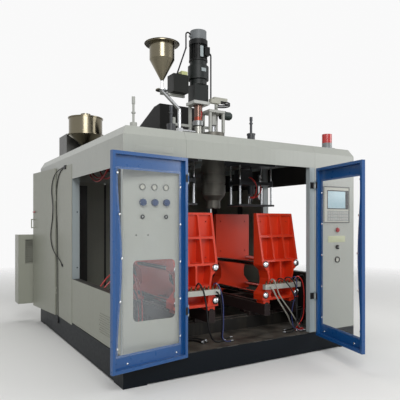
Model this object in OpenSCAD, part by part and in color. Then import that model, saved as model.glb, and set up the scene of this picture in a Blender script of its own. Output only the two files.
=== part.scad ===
// Double station extrusion blow moulding machine in its sheet metal enclosure.
// X runs to the right, Y to the back and Z up, with the origin on the floor
// under the middle of the enclosure. Inside each module Y is measured from
// the front face, and placed() moves it into the machine's frame.

/* [Enclosure] */
// Width over the side panels
body_w = 3050; // [3040:10:3080]
// Depth from the front face to the back
body_d = 3400; // [3390:10:3440]
// Height of the deck above the floor
deck_h = 238; // [234:1:240]
// Lower edge of the fascia at the front
fascia_z = 2160; // [2156:1:2170]
// Upper edge of the upright part of the fascia
fascia_top = 2338; // [2334:1:2344]
// Rise of the sloping band above the fascia
slope_rise = 88; // [76:1:94]
// Setback of the sloping band
slope_run = 48; // [40:1:54]
// Thickness of the folded sheet
sheet = 3; // [2:0.5:4]
// Top of the side sills
sill_z = 830; // [810:5:850]
// Top of the side windows
side_window_top = 2052; // [2040:2:2060]

/* [Doors] */
// Width of the front panel beside each door
panel_w = 660; // [650:2:670]
// Gap between the closed doors
door_gap = 30; // [20:2:40]
// Lower edge of the doors
door_z0 = 210; // [205:1:220]
// Upper edge of the doors
door_z1 = 2150; // [2140:1:2152]
// Depth of the folded door frame
door_t = 40; // [36:1:42]
// Angle of the left door in the rest pose, from closed
left_open = 170; // [160:1:172]
// Angle of the right door in the rest pose, from closed
right_open = 77; // [60:1:120]

/* [Clamp stations] */
// Distance of each station from the middle at rest
station_x = 585; // [584:1:590]
// Distance of the tie bars from a platen's edges
tie_in = 40; // [38:1:42]
// Height of the upper tie bars
tie_top_z = 1030; // [1028:1:1034]
// Height of the lower tie bars
tie_low_z = 670; // [668:1:674]
// Radius of a tie bar
tie_r = 30; // [28:0.5:31]
// Width of a platen
platen_w = 550; // [540:2:552]
// Top of the platens
platen_top = 1630; // [1620:2:1640]
// Underside of the platens
platen_low = 610; // [608:1:614]
// Mould face of the front platen, from the front face
front_face_y = 450; // [446:1:454]
// Mould face of the moving platen, from the front face
moving_face_y = 1280; // [1276:1:1284]
// Stroke of each half of the clamp
clamp_stroke = 250; // [230:5:250]
// Thickness of a platen's face plate
plate_t = 30; // [24:1:34]
// Spacing of the mould bolts across and up
mould_pitch = 400; // [390:2:404]

/* [Blow units and head] */
// Mould plane, from the front face
blow_y = 865; // [862:1:868]
// Stroke of a blow head
blow_stroke = 120; // [100:5:120]
// Height of the extruder's axis
barrel_z = 2520; // [2518:1:2524]
// Distance of the upright extruder from the middle
co_x = 215; // [213:1:218]
// Top of the cowl on the upright extruder's motor
motor_top = 3832; // [3820:2:3840]
// Distance of the feed hopper from the middle
hopper_x = 704; // [700:1:708]
// Radius of the feed hopper's lid
hopper_r = 205; // [190:5:215]

/* [Hidden] */
$fn = 32;
// Gap between pieces that are bolted face to face
gap = 0.3;
// Radial clearance of a running fit
run = 0.1;
// Overshoot of a cutting tool
cut = 1;

half_w = body_w / 2;
front_y = -body_d / 2;
tube = 120;
foot_t = 12;
foot_w = 240;
anchor_in = 180;
anchor_r = 11;
deck_t = 6;
side_rail_w = 100;
side_rail_z = 290;
post = 60;
door_post_w = 80;
beam_z = fascia_top - 2;
beam_top = beam_z + post;
beam_in = 40;
roof_t = 4;
well_x = 450;
well_y0 = 600;
well_y1 = 1300;
jamb_y = body_d - 1728;
jamb_w = 90;
seam_y = body_d - 999;
rear_y = body_d - 80;

hinge_x = half_w - panel_w;
door_w = hinge_x - door_gap / 2;
hinge_y = -30;
hinge_r = 12;
pin_r = 6;
door_start = 14;
hinge_low_z = 662;
hinge_high_z = 1953;
hinge_h = 60;
rim = 30;

bed_y0 = 620;
bed_y1 = 1900;
bed_w = 120;
bed_top = deck_h + 142;
rail_w = 40;
rail_h = 20;
rail_top = bed_top + rail_h;
frame_z = 430;
slide_x = 200;
slide_w = 80;
frame_top = 560;
slide_z = frame_top + rail_h;

tie_x = platen_w / 2 - tie_in;
rib_front_y = 280;
rib_top_y = 400;
boss_r = 42;
yoke_y = 1500;
yoke_t = 120;
ram_z = 850;
ram_r = 35;
station_mid_y = (front_face_y + moving_face_y) / 2;

module placed() {
    translate([0, front_y, 0]) children();
}

module block(x, y, z, size) {
    translate([x, y, z]) cube(size);
}

module mid_block(x, y, z, size) {
    translate([x - size[0] / 2, y, z]) cube(size);
}

module rod_x(x, y, z, r, l) {
    translate([x, y, z]) rotate([0, 90, 0]) cylinder(r = r, h = l);
}

module rod_y(x, y, z, r, l) {
    translate([x, y, z]) rotate([-90, 0, 0]) cylinder(r = r, h = l);
}

module rod_z(x, y, z, r, l) {
    translate([x, y, z]) cylinder(r = r, h = l);
}

// A profile drawn in Y and Z and extruded along X
module side_profile(x, w) {
    translate([x, 0, 0]) rotate([90, 0, 90]) linear_extrude(w) children();
}

// A profile drawn in X and Z and extruded towards the back
module front_profile(y, t) {
    translate([0, y + t, 0]) rotate([90, 0, 0]) linear_extrude(t) children();
}

module both_sides() {
    children();
    mirror([1, 0, 0]) children();
}

// A rectangle with round corners
module round_rect(w, h, r) {
    translate([r, 0]) square([w - 2 * r, h]);
    translate([0, r]) square([w, h - 2 * r]);
    for (x = [r, w - r], y = [r, h - r]) translate([x, y]) circle(r = r);
}

// Base

module base_frame() {
    color([0.07, 0.08, 0.13]) placed() {
        inner = body_d - 2 * tube - 2 * gap;
        block(-half_w, 0, foot_t, [body_w, tube, deck_h - deck_t - foot_t]);
        block(-half_w, body_d - tube, foot_t, [body_w, tube, deck_h - deck_t - foot_t]);
        both_sides() {
            block(half_w - side_rail_w, tube + gap, foot_t, [side_rail_w, inner, side_rail_z - foot_t]);
            block(station_x - tube / 2, tube + gap, foot_t, [tube, inner, deck_h - deck_t - foot_t]);
            for (y = [0, body_d - foot_w]) difference() {
                block(half_w - foot_w, y, 0, [foot_w, foot_w, foot_t]);
                anchor_y = y == 0 ? anchor_in : body_d - anchor_in;
                rod_z(half_w - anchor_in, anchor_y, -cut, anchor_r, foot_t + 2 * cut);
            }
        }
        // cross tube and foot at the middle
        mid_block(0, (body_d - tube) / 2, foot_t, [2 * station_x - tube - 2 * gap, tube, deck_h - deck_t - foot_t]);
        mid_block(0, (body_d - foot_w) / 2, 0, [foot_w, foot_w, foot_t]);
    }
}

module deck_plate() {
    access_r = 32;
    color([0.16, 0.16, 0.17]) placed() difference() {
        w = body_w - 2 * side_rail_w - 2 * gap;
        union() {
            mid_block(0, 0, deck_h - deck_t, [w, body_d, deck_t]);
            for (y = [0, body_d - tube]) mid_block(0, y, deck_h - deck_t, [body_w, tube, deck_t]);
        }
        for (x = [-1, 1], y = [anchor_in, body_d - anchor_in])
            rod_z(x * (half_w - anchor_in), y, deck_h - deck_t - cut, access_r, deck_t + 2 * cut);
    }
}

// Posts, top beams and the fixed halves of the hinges

module hinge_bracket(z) {
    lug_h = 24;
    lug_gap = 0.4;
    for (s = [0, 1]) {
        z0 = s == 0 ? z - hinge_h / 2 - lug_h - lug_gap : z + hinge_h / 2 + lug_gap;
        difference() {
            union() {
                rod_z(hinge_x, hinge_y, z0, hinge_r, lug_h);
                mid_block(hinge_x, hinge_y, z0, [2 * hinge_r - 1, -hinge_y - gap, lug_h]);
                block(hinge_x - hinge_r, -1, z0, [hinge_r - gap, sheet + 1, lug_h]);
            }
            rod_z(hinge_x, hinge_y, z0 - cut, pin_r, lug_h + 2 * cut);
        }
    }
    rod_z(hinge_x, hinge_y, z - hinge_h / 2 - lug_h - lug_gap - 3, pin_r, hinge_h + 2 * lug_h + 2 * lug_gap + 6);
}

module frame_posts() {
    post_h = beam_z - deck_h - 2 * gap;
    span = body_d - 2 * beam_in - 2 * post - 2 * gap;
    inner_x = half_w - beam_in - post;
    color([0.78, 0.79, 0.77]) placed() {
        both_sides() {
            block(half_w - sheet - post, sheet + gap, deck_h + gap, [post, post, post_h]);
            block(half_w - sheet - post, body_d - sheet - post, deck_h + gap, [post, post, post_h]);
            block(half_w - sheet - jamb_w, jamb_y, side_rail_z + gap, [jamb_w, post, beam_z - side_rail_z - 2 * gap]);
            block(inner_x, beam_in + post + gap, beam_z, [post, span, post]);
            block(well_x, beam_in + post + gap, beam_z, [post, well_y0 - 2 * post - beam_in - 2 * gap, post]);
            block(well_x, well_y1 + post + gap, beam_z, [post, body_d - well_y1 - 2 * post - beam_in - 2 * gap, post]);
            for (z = [hinge_low_z, hinge_high_z]) color([0.06, 0.07, 0.1]) hinge_bracket(z);
        }
        // door posts: the left one stands behind its panel
        block(hinge_x - door_post_w, sheet + gap, deck_h + gap, [door_post_w, post, post_h]);
        block(-hinge_x - post, panel_ret + gap, deck_h + gap, [post, post, post_h]);
        for (y = [beam_in, body_d - beam_in - post]) mid_block(0, y, beam_z, [body_w - 2 * beam_in, post, post]);
        for (y = [well_y0 - post, well_y1]) mid_block(0, y, beam_z, [2 * inner_x - 2 * gap, post, post]);
    }
}

// Fascia: a ring of folded sheet with a sloping band, cut at its seams

module fascia_solid(inset, over) {
    w = half_w - inset;
    low = side_window_top - over;
    lean = slope_run * (slope_rise + over) / slope_rise;
    top = fascia_top + slope_rise + over;
    intersection() {
        front_profile(inset, body_d - 2 * inset) polygon([
            [-w, low], [w, low], [w, fascia_top], [w - lean, top], [-w + lean, top], [-w, fascia_top]]);
        side_profile(-w, 2 * w) polygon([
            [inset, low], [body_d - inset, low], [body_d - inset, fascia_top],
            [body_d - inset - lean, top], [inset + lean, top], [inset, fascia_top]]);
    }
}

module fascia() {
    seam = 2;
    corner = 64;
    high = fascia_top + slope_rise + cut;
    tall = high - side_window_top + 2 * cut;
    color([0.72, 0.73, 0.70]) placed() difference() {
        fascia_solid(0, 0);
        fascia_solid(sheet, 10);
        // the front and the back are shallower than the sides
        mid_block(0, -cut, side_window_top - cut, [2 * hinge_x, sheet + 2 * cut, fascia_z - side_window_top + cut]);
        both_sides()
            block(hinge_x - cut, -cut, side_window_top - cut, [half_w, corner, fascia_z - side_window_top + cut]);
        mid_block(0, body_d - corner, side_window_top - cut, [body_w + cut, corner + cut, fascia_z - side_window_top + cut]);
        // seams
        both_sides() {
            block(hinge_x, -cut, side_window_top - cut, [seam, corner + cut, tall]);
            block(half_w - corner * 2, corner, side_window_top - cut, [corner * 2 + cut, seam, tall]);
            block(half_w - corner * 2, body_d - corner, side_window_top - cut, [corner * 2 + cut, seam, tall]);
        }
    }
}

module roof_plate() {
    z = beam_top + gap;
    edge = 52;
    color([0.6, 0.61, 0.6]) placed() {
        mid_block(0, edge, z, [body_w - 2 * edge, well_y0 - edge - 1, roof_t]);
        mid_block(0, well_y1 + 1, z, [body_w - 2 * edge, body_d - edge - well_y1 - 1, roof_t]);
        both_sides() difference() {
            block(well_x, well_y0, z, [half_w - edge - well_x, well_y1 - well_y0, roof_t]);
            rod_z(station_x, blow_y, z - cut, 60, roof_t + 2 * cut);
        }
    }
}

// Front panels: trays of folded sheet beside the doors

panel_ret = 25;
panel_mid = (hinge_x + half_w) / 2;
panel_z0 = deck_h + gap;
panel_z1 = fascia_z - gap;

module front_tray() {
    difference() {
        block(hinge_x + gap, 0, panel_z0, [panel_w - gap, panel_ret, panel_z1 - panel_z0]);
        block(hinge_x + gap + sheet, sheet, panel_z0 + sheet,
              [panel_w - 2 * sheet - gap, panel_ret, panel_z1 - panel_z0 - 2 * sheet]);
        // room for the corner post
        block(half_w - sheet - post - 1, sheet, panel_z0 - cut, [post + 1, panel_ret, panel_z1]);
    }
}

gauge_z = 1856;
gauge_x = [panel_mid + 141, panel_mid + 19, panel_mid - 103];
gauge_r = 30;
knob_z = 1712;
knob_bore = 6;
button_z = 1578;
button_bore = 12;
port_x0 = panel_mid - 205;
port_x1 = panel_mid + 232;
port_z0 = 605;
port_z1 = 1172;
port_corner = 45;

module port_shape(grow) {
    translate([-port_x1 - grow, port_z0 - grow])
        round_rect(port_x1 - port_x0 + 2 * grow, port_z1 - port_z0 + 2 * grow, port_corner + grow);
}

module front_panel_left() {
    color([0.78, 0.79, 0.77]) placed() difference() {
        mirror([1, 0, 0]) front_tray();
        front_profile(-cut, sheet + 2 * cut) port_shape(0);
        for (x = gauge_x) {
            rod_y(-x, -cut, gauge_z, gauge_r - 6, sheet + 2 * cut);
            rod_y(-x, -cut, knob_z, knob_bore + run, sheet + 2 * cut);
        }
        for (x = [gauge_x[0], gauge_x[2]]) rod_y(-x, -cut, button_z, button_bore + run, sheet + 2 * cut);
    }
}

module panel_window() {
    color([0.75, 0.82, 0.85, 0.4]) placed() front_profile(sheet + gap, 5) port_shape(18);
}

estop_x = panel_mid + 36;
estop_z = 1429;
selector_z = 1222;
dial_z = 1070;
hmi_x0 = panel_mid - 199;
hmi_x1 = panel_mid + 245;
hmi_z0 = 1513;
hmi_z1 = 1955;

module front_panel_right() {
    color([0.78, 0.79, 0.77]) placed() difference() {
        front_tray();
        block(hmi_x0 + 20, -cut, hmi_z0 + 20, [hmi_x1 - hmi_x0 - 40, sheet + 2 * cut, hmi_z1 - hmi_z0 - 40]);
        rod_y(estop_x, -cut, estop_z, button_bore + run, sheet + 2 * cut);
        rod_y(estop_x, -cut, selector_z, button_bore + run, sheet + 2 * cut);
        rod_y(estop_x, -cut, dial_z, gauge_r + 2, sheet + 2 * cut);
    }
}

module gauge(x, z, r) {
    difference() {
        rod_y(x, -12, z, r, 12 - gap);
        rod_y(x, -12 - cut, z, r - 5, 3 + cut);
    }
    rod_y(x, -gap, z, r - 7, 30);
    rod_y(x, 30 - gap, z, 6, 12);
    mid_block(x, -10, z, [1.5, 1.2, r - 9]);
}

module gauges() {
    color([0.82, 0.82, 0.8]) placed() {
        for (x = gauge_x) gauge(-x, gauge_z, gauge_r);
        gauge(estop_x, dial_z, gauge_r + 8);
    }
}

module knob(x) {
    flutes = 10;
    color([0.1, 0.25, 0.5]) placed() {
        difference() {
            rod_y(-x, -34, knob_z, 33, 32);
            for (a = [0:flutes - 1])
                rotate_about(-x, knob_z, a * 360 / flutes) rod_y(-x + 37, -34 - cut, knob_z, 8, 34 + cut);
        }
        rod_y(-x, -4, knob_z, knob_bore, 28);
    }
}

module rotate_about(x, z, a) {
    translate([x, 0, z]) rotate([0, a, 0]) translate([-x, 0, -z]) children();
}

module knob_1() { knob(gauge_x[0]); }
module knob_2() { knob(gauge_x[1]); }
module knob_3() { knob(gauge_x[2]); }

module button(x) {
    color([0.3, 0.31, 0.32]) placed() {
        rod_y(-x, -12, button_z, 20, 6);
        rod_y(-x, -8, button_z, button_bore, 36);
    }
}

module button_1() { button(gauge_x[0]); }
module button_2() { button(gauge_x[2]); }

module hmi_panel() {
    screen_x0 = hmi_x0 + 75;
    screen_x1 = screen_x0 + 300;
    screen_z0 = 1692;
    screen_z1 = 1897;
    keys = 6;
    color([0.66, 0.67, 0.66]) placed() {
        difference() {
            block(hmi_x0, -10, hmi_z0, [hmi_x1 - hmi_x0, 10 - gap, hmi_z1 - hmi_z0]);
            block(hmi_x0 + 14, -10 - cut, hmi_z0 + 14, [hmi_x1 - hmi_x0 - 28, 3 + cut, hmi_z1 - hmi_z0 - 28]);
            block(screen_x0, -10, screen_z0, [screen_x1 - screen_x0, 6, screen_z1 - screen_z0]);
        }
        // housing behind the sheet
        block(hmi_x0 + 21, -gap, hmi_z0 + 21, [hmi_x1 - hmi_x0 - 42, 90, hmi_z1 - hmi_z0 - 42]);
        for (i = [0:keys - 1])
            rod_y(screen_x1 + 32, -9, screen_z0 + 16 + i * (screen_z1 - screen_z0 - 32) / (keys - 1), 11, 2);
        for (i = [0:8], j = [0:2])
            block(screen_x0 + 6 + i * 38, -9, hmi_z0 + 36 + j * 38, [30, 2, 28]);
    }
}

module estop_button() {
    color([0.75, 0.08, 0.08]) placed() {
        translate([estop_x, -8, estop_z]) rotate([-90, 0, 0]) rotate_extrude()
            polygon([[0, -22], [14, -21], [26, -14], [30, -4], [26, 0], [0, 0]]);
        rod_y(estop_x, -9, estop_z, button_bore, 45);
    }
}

module selector_switch() {
    color([0.35, 0.36, 0.37]) placed() {
        rod_y(estop_x, -14, selector_z, 26, 13);
        mid_block(estop_x, -30, selector_z - 22, [12, 17, 44]);
        rod_y(estop_x, -3, selector_z, button_bore, 40);
    }
}

// Side panels

module side_sill(vents) {
    z0 = side_rail_z + 10;
    y0 = sheet + post + 2 * gap;
    len = jamb_y - y0 - gap;
    difference() {
        block(half_w - sheet, y0, z0, [sheet, len, sill_z - z0]);
        if (vents) for (i = [0:11], j = [0:8])
            rod_x(half_w - sheet - cut, 260 + i * 34 + (j % 2) * 17, 400 + j * 24, 7, sheet + 2 * cut);
    }
    // the sill's ledge, folded down again inside
    block(half_w - jamb_w, y0, sill_z - 40, [jamb_w - sheet - gap, len, 40]);
}

module side_sills() {
    color([0.72, 0.73, 0.70]) placed() {
        side_sill(false);
        mirror([1, 0, 0]) side_sill(true);
    }
}

module rear_panels() {
    top = 2233;
    proud = 5;
    z0 = 272;
    wall_w = (body_w - 50) / 3;
    color([0.7, 0.71, 0.69]) placed() {
        // side panels behind the windows
        both_sides() block(half_w + gap, jamb_y, z0, [proud - gap, seam_y - jamb_y - 2, top - z0]);
        block(half_w + gap, seam_y, z0, [proud - gap, rear_y - seam_y, top - z0]);
        stiff_h = side_window_top - side_rail_z - 2 * gap;
        both_sides() block(half_w - post, seam_y - post - 3, side_rail_z + gap, [post, post, stiff_h]);
        block(half_w - post, rear_y - 200, side_rail_z + gap, [post, post, stiff_h]);
        // back wall in three sheets, with a service grille in the middle one
        for (i = [-1, 1])
            mid_block(i * wall_w, body_d - sheet, deck_h + gap, [wall_w - 4, sheet - gap, fascia_z - deck_h - 2 * gap]);
        difference() {
            mid_block(0, body_d - sheet, deck_h + gap, [wall_w - 4, sheet - gap, fascia_z - deck_h - 2 * gap]);
            for (j = [0:9]) mid_block(0, body_d - sheet - cut, 500 + j * 40, [600, sheet + 2 * cut, 14]);
        }
    }
}

cab_z0 = side_rail_z + gap;
cab_z1 = 2030;
cab_x = 420;

module rear_cabinet() {
    cabinet_hinges();
    y0 = seam_y + 12;
    y1 = rear_y - 12;
    x0 = -half_w + 1;
    plate_x = x0 + cab_x - sheet - gap - 4;
    color([0.72, 0.73, 0.71]) placed() {
        difference() {
            block(x0, y0, cab_z0, [cab_x, y1 - y0, cab_z1 - cab_z0]);
            block(x0 - cut, y0 + sheet, cab_z0 + sheet, [cab_x - sheet + cut, y1 - y0 - 2 * sheet, cab_z1 - cab_z0 - 2 * sheet]);
        }
        // mounting plate and the rails and breakers on it
        block(plate_x, y0 + 40, cab_z0 + 60, [4, y1 - y0 - 80, cab_z1 - cab_z0 - 120]);
        for (z = [700, 1100, 1500]) {
            block(plate_x - 8, y0 + 80, z, [8 - gap, y1 - y0 - 160, 35]);
            for (i = [0:7]) block(plate_x - 78, y0 + 110 + i * 80, z - 20, [70 - gap, 50, 80]);
        }
    }
}

cab_hinge_x = -half_w - 15;
cab_hinge_y = seam_y + 4;
cab_open = 6.5;
cab_pin = 4;
cab_knuckle = 8;
cab_door_z0 = 270;
cab_door_z1 = 2250;
cab_hinges = [600, 1850];

module cabinet_hinges() {
    for (z = cab_hinges) color([0.2, 0.2, 0.22]) placed() {
        for (z0 = [z - 45, z + 25.4]) {
            rod_z(cab_hinge_x, cab_hinge_y, z0, cab_knuckle, 19.6);
            block(cab_hinge_x, cab_hinge_y - 5, z0, [20, 10, 19.6]);
            block(-half_w + 1, cab_hinge_y - 5, z0, [24, 16, 19.6]);
        }
        rod_z(cab_hinge_x, cab_hinge_y, z - 48, cab_pin, 96);
    }
}

module cabinet_door() {
    len = rear_y - cab_hinge_y;
    t = 20;
    start = 10;
    color([0.74, 0.75, 0.73]) placed() translate([cab_hinge_x, cab_hinge_y, 0]) rotate([0, 0, cab_open]) difference() {
        union() {
            difference() {
                block(-t / 2, start, cab_door_z0, [t, len - start, cab_door_z1 - cab_door_z0]);
                block(-t / 2 + 2, start + 2, cab_door_z0 + 2, [t, len - start - 4, cab_door_z1 - cab_door_z0 - 4]);
            }
            for (z = cab_hinges) {
                rod_z(0, 0, z - 25, cab_knuckle, 50);
                block(-3, 0, z - 25, [6, start + 1, 50]);
            }
            // pull handle
            for (z = [1440, 1560]) rod_x(-t / 2 - 40, len - 50, z, 7, 42);
            rod_z(-t / 2 - 40, len - 50, 1430, 8, 140);
        }
        for (z = cab_hinges) rod_z(0, 0, z - 25 - cut, cab_pin + run, 50 + 2 * cut);
    }
}

box_w = 335;
box_x0 = -half_w - box_w;
box_x1 = -half_w - gap;
box_y0 = body_d - 40;
box_d = 260;
box_z0 = 300;
box_z1 = 1330;
latch_x = box_x0 + 242;
latch_z = 1103;
latch_r = 14;

module control_box() {
    vent_x0 = box_x0 + 95;
    vent_z0 = 900;
    vent_w = 118;
    vent_h = 366;
    color([0.74, 0.75, 0.73]) placed() {
        difference() {
            block(box_x0, box_y0, box_z0, [box_x1 - box_x0, box_d, box_z1 - box_z0]);
            block(box_x0 + sheet, box_y0 - cut, box_z0 + sheet, [box_x1 - box_x0 - 2 * sheet, box_d - sheet + cut, box_z1 - box_z0 - 2 * sheet]);
        }
        // bracket to the corner post
        block(box_x1 + gap, box_y0 + 4, box_z0 + 100, [sheet - gap, 44, box_z1 - box_z0 - 200]);
        // cover with its recessed filter vent
        difference() {
            block(box_x0, box_y0 - 18 - gap, box_z0, [box_x1 - box_x0, 18, box_z1 - box_z0]);
            block(box_x0 + 2, box_y0 - 16 - gap, box_z0 + 2, [box_x1 - box_x0 - 4, 18, box_z1 - box_z0 - 4]);
            block(vent_x0, box_y0 - 30, vent_z0, [vent_w, 40, vent_h]);
            rod_y(latch_x, box_y0 - 30, latch_z, latch_r + run, 40);
        }
        for (j = [0:13]) block(vent_x0 - 5, box_y0 - 16, vent_z0 + 4 + j * (vent_h - 14) / 13, [vent_w + 10, 3, 10]);
        for (i = [0, 1]) block(vent_x0 - 8 + i * (vent_w + 2), box_y0 - 16, vent_z0 - 6, [12, 3, vent_h + 12]);
    }
}

module control_box_latch() {
    color([0.05, 0.05, 0.06]) placed() {
        mid_block(latch_x, box_y0 - 30 - gap, latch_z - 30, [24, 11, 60]);
        rod_y(latch_x, box_y0 - 22, latch_z, latch_r, 30);
        mid_block(latch_x, box_y0 + 6, latch_z - 10, [20, 3, 50]);
    }
}

// Doors: a folded rim, a flat band behind it and a clear pane on the band

pane_x0 = door_start + 82;
pane_band = 72;
pane_swell = 46;
pane_z0 = door_z0 + 150;
pane_z1 = door_z1 - 155;
lock_z = [1165, 1270];

function swell(u) = pane_swell * (1 - cos(360 * u)) / 2;

module pane_shape(grow) {
    steps = 28;
    high = pane_z1 - pane_z0;
    polygon(concat(
        [[pane_x0 - grow, pane_z1 + grow], [pane_x0 - grow, pane_z0 - grow]],
        [for (i = [0:steps]) [door_w - pane_band - swell(i / steps) + grow,
                              pane_z0 - grow + (high + 2 * grow) * i / steps]]));
}

module door_frame() {
    high = door_z1 - door_z0;
    deep = door_t / 2;
    difference() {
        union() {
            difference() {
                block(door_start, -deep, door_z0, [door_w - door_start, door_t, high]);
                block(door_start + rim, -deep + sheet, door_z0 + rim, [door_w - door_start - 2 * rim, door_t, high - 2 * rim]);
                front_profile(-deep - cut, door_t) pane_shape(0);
            }
            for (z = [hinge_low_z, hinge_high_z]) {
                rod_z(0, 0, z - hinge_h / 2, hinge_r, hinge_h);
                block(0, -4, z - hinge_h / 2, [door_start + 1, 8, hinge_h]);
            }
            for (z = lock_z) rod_y(door_w - 56, -deep - 5, z, 18, sheet + 14);
        }
        for (z = [hinge_low_z, hinge_high_z]) rod_z(0, 0, z - hinge_h / 2 - cut, pin_r + run, hinge_h + 2 * cut);
    }
}

module door_pane() {
    front_profile(-door_t / 2 + sheet + gap, 5) pane_shape(20);
}

module left_door_place() {
    placed() translate([-hinge_x, hinge_y, 0]) rotate([0, 0, -left_open]) children();
}

module right_door_place() {
    placed() translate([hinge_x, hinge_y, 0]) rotate([0, 0, right_open]) mirror([1, 0, 0]) children();
}

module door_left() { color([0.1, 0.3, 0.65]) left_door_place() door_frame(); }
module door_right() { color([0.1, 0.3, 0.65]) right_door_place() door_frame(); }
module door_left_pane() { color([0.8, 0.85, 0.9, 0.25]) left_door_place() door_pane(); }
module door_right_pane() { color([0.8, 0.85, 0.9, 0.25]) right_door_place() door_pane(); }

// Bed: two beams with rails, and the barrels of the shuttle cylinders

shuttle_y = 1250;
shuttle_z = 310;
shuttle_r = 45;
shuttle_bore = 35;
shuttle_rod = 20;
shuttle_x0 = station_x + 170;
shuttle_len = half_w - 125 - shuttle_x0;
cap_t = 15;

module bed() {
    color([0.12, 0.12, 0.13]) placed() {
        for (y = [bed_y0, bed_y1]) {
            mid_block(0, y - bed_w / 2, deck_h + gap, [body_w - 550, bed_w, bed_top - deck_h - gap]);
            mid_block(0, y - rail_w / 2, bed_top + gap, [body_w - 590, rail_w, rail_h - gap]);
        }
        both_sides() difference() {
            union() {
                rod_x(shuttle_x0, shuttle_y, shuttle_z, shuttle_r, shuttle_len);
                for (x = [shuttle_x0 + 30, shuttle_x0 + shuttle_len - 90])
                    block(x, shuttle_y - 50, deck_h + gap, [60, 100, shuttle_z - deck_h]);
            }
            rod_x(shuttle_x0 + cap_t, shuttle_y, shuttle_z, shuttle_bore, shuttle_len - 2 * cap_t);
            rod_x(shuttle_x0 - cut, shuttle_y, shuttle_z, shuttle_rod + run, cap_t + 2 * cut);
        }
    }
}

module at_station(side) {
    placed() {
        if (side < 0) translate([-station_x, 0, 0]) children();
        else mirror([1, 0, 0]) translate([-station_x, 0, 0]) children();
    }
}

module carriage() {
    y0 = rib_front_y + 5;
    len = bed_y1 + bed_w / 2 - y0;
    bracket_x = -135;
    tail = shuttle_x0 + shuttle_len - station_x;
    for (x = [-slide_x, slide_x]) difference() {
        union() {
            mid_block(x, y0, frame_z, [slide_w, len, frame_top - frame_z]);
            for (y = [bed_y0, bed_y1]) mid_block(x, y - 50, rail_top - 16, [100, 100, frame_z - rail_top + 17]);
        }
        for (y = [bed_y0, bed_y1])
            mid_block(x, y - rail_w / 2 - gap, rail_top - 20, [100 + 2 * cut, rail_w + 2 * gap, 20 + gap]);
    }
    for (x = [-slide_x, slide_x]) mid_block(x, y0 + 5, frame_top + gap, [rail_w, len - 10, rail_h - gap]);
    for (y = [bed_y0 + 90, bed_y1 - 190])
        mid_block(0, y, frame_z + 10, [2 * slide_x - slide_w - 2 * gap, 100, 100]);
    mid_block(0, shuttle_y - 50, frame_z + 10, [2 * slide_x - slide_w - 2 * gap, 100, 100]);
    // bracket and rod of the shuttle cylinder
    mid_block(bracket_x, shuttle_y - 40, shuttle_z - 30, [20, 80, frame_z + 10 - gap - shuttle_z + 30]);
    rod_x(-tail + 27, shuttle_y, shuttle_z, shuttle_rod, tail - 27 + bracket_x - 10 - gap);
    rod_x(-tail + 22, shuttle_y, shuttle_z, shuttle_bore - run, cap_t);
}

module carriage_left() { color([0.35, 0.1, 0.08]) at_station(-1) carriage(); }
module carriage_right() { color([0.35, 0.1, 0.08]) at_station(1) carriage(); }

// Platens: a face plate with a deep tapered grid of ribs

edge_rib = 25;
inner_rib = 20;
mid_rib_z = 1355;
waist_z = 830;
waist_in = 90;
low_rib = 22;
mould_r = 9;
mould_z = 1330;

module platen_outline() {
    h = platen_w / 2;
    w = h - waist_in;
    polygon([
        [-h, platen_top], [h, platen_top], [h, tie_top_z - 20], [w + 20, tie_top_z - 80], [w, waist_z + 30],
        [w + 5, waist_z - 50], [h - 30, tie_low_z + 45], [h, tie_low_z + 10], [h, platen_low], [-h, platen_low],
        [-h, tie_low_z + 10], [-h + 30, tie_low_z + 45], [-w - 5, waist_z - 50], [-w, waist_z + 30],
        [-w - 20, tie_top_z - 80], [-h, tie_top_z - 20]]);
    for (x = [-tie_x, tie_x], z = [tie_low_z, tie_top_z]) translate([x, z]) circle(r = boss_r);
}

module platen_pockets() {
    wide = platen_w - 2 * edge_rib;
    pocket = (wide - 2 * inner_rib) / 3;
    upper_low = tie_top_z + 48;
    half_rib = low_rib / 2;
    w = platen_w / 2 - waist_in;
    for (i = [0:2]) {
        translate([-wide / 2 + i * (pocket + inner_rib), upper_low]) round_rect(pocket, mid_rib_z - half_rib - upper_low, 14);
        translate([-wide / 2 + i * (pocket + inner_rib), mid_rib_z + half_rib])
            round_rect(pocket, platen_top - edge_rib - mid_rib_z - half_rib, 14);
    }
    for (s = [-1, 1]) polygon([
        [s * 10, upper_low - low_rib], [s * (w - 7), upper_low - low_rib], [s * (w - 5), tie_top_z - 40],
        [s * (w - 21), waist_z + half_rib + 10], [s * (w - 31), waist_z + half_rib], [s * 10, waist_z + half_rib]]);
    translate([35 - w, tie_low_z - 30]) round_rect(2 * w - 70, waist_z - half_rib - tie_low_z + 30, 20);
}

module platen() {
    face = front_face_y;
    difference() {
        union() {
            intersection() {
                front_profile(rib_front_y, face - rib_front_y) platen_outline();
                side_profile(-half_w, body_w) polygon([
                    [face, platen_low], [face, platen_top], [rib_top_y, platen_top],
                    [rib_front_y, tie_top_z], [rib_front_y, platen_low]]);
            }
            for (x = [-tie_x, tie_x], z = [tie_low_z, tie_top_z])
                rod_y(x, rib_front_y - 10, z, boss_r, face - rib_front_y + 10);
            for (x = [-slide_x, slide_x])
                mid_block(x, rib_front_y + 20, frame_top + 6, [90, 130, platen_low - frame_top - 5]);
        }
        front_profile(rib_front_y - cut, face - plate_t - rib_front_y + cut) platen_pockets();
        for (x = [-tie_x, tie_x], z = [tie_low_z, tie_top_z])
            rod_y(x, rib_front_y - 10 - cut, z, tie_r + run, face - rib_front_y + 10 + 2 * cut);
        for (x = [-mould_pitch / 2, mould_pitch / 2], z = [mould_z - mould_pitch / 2, mould_z + mould_pitch / 2])
            rod_y(x, face - plate_t - cut, z, mould_r, plate_t + 2 * cut);
        for (x = [-slide_x, slide_x])
            mid_block(x, rib_front_y, frame_top, [rail_w + 2 * gap, 200, rail_h + gap]);
    }
}

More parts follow.
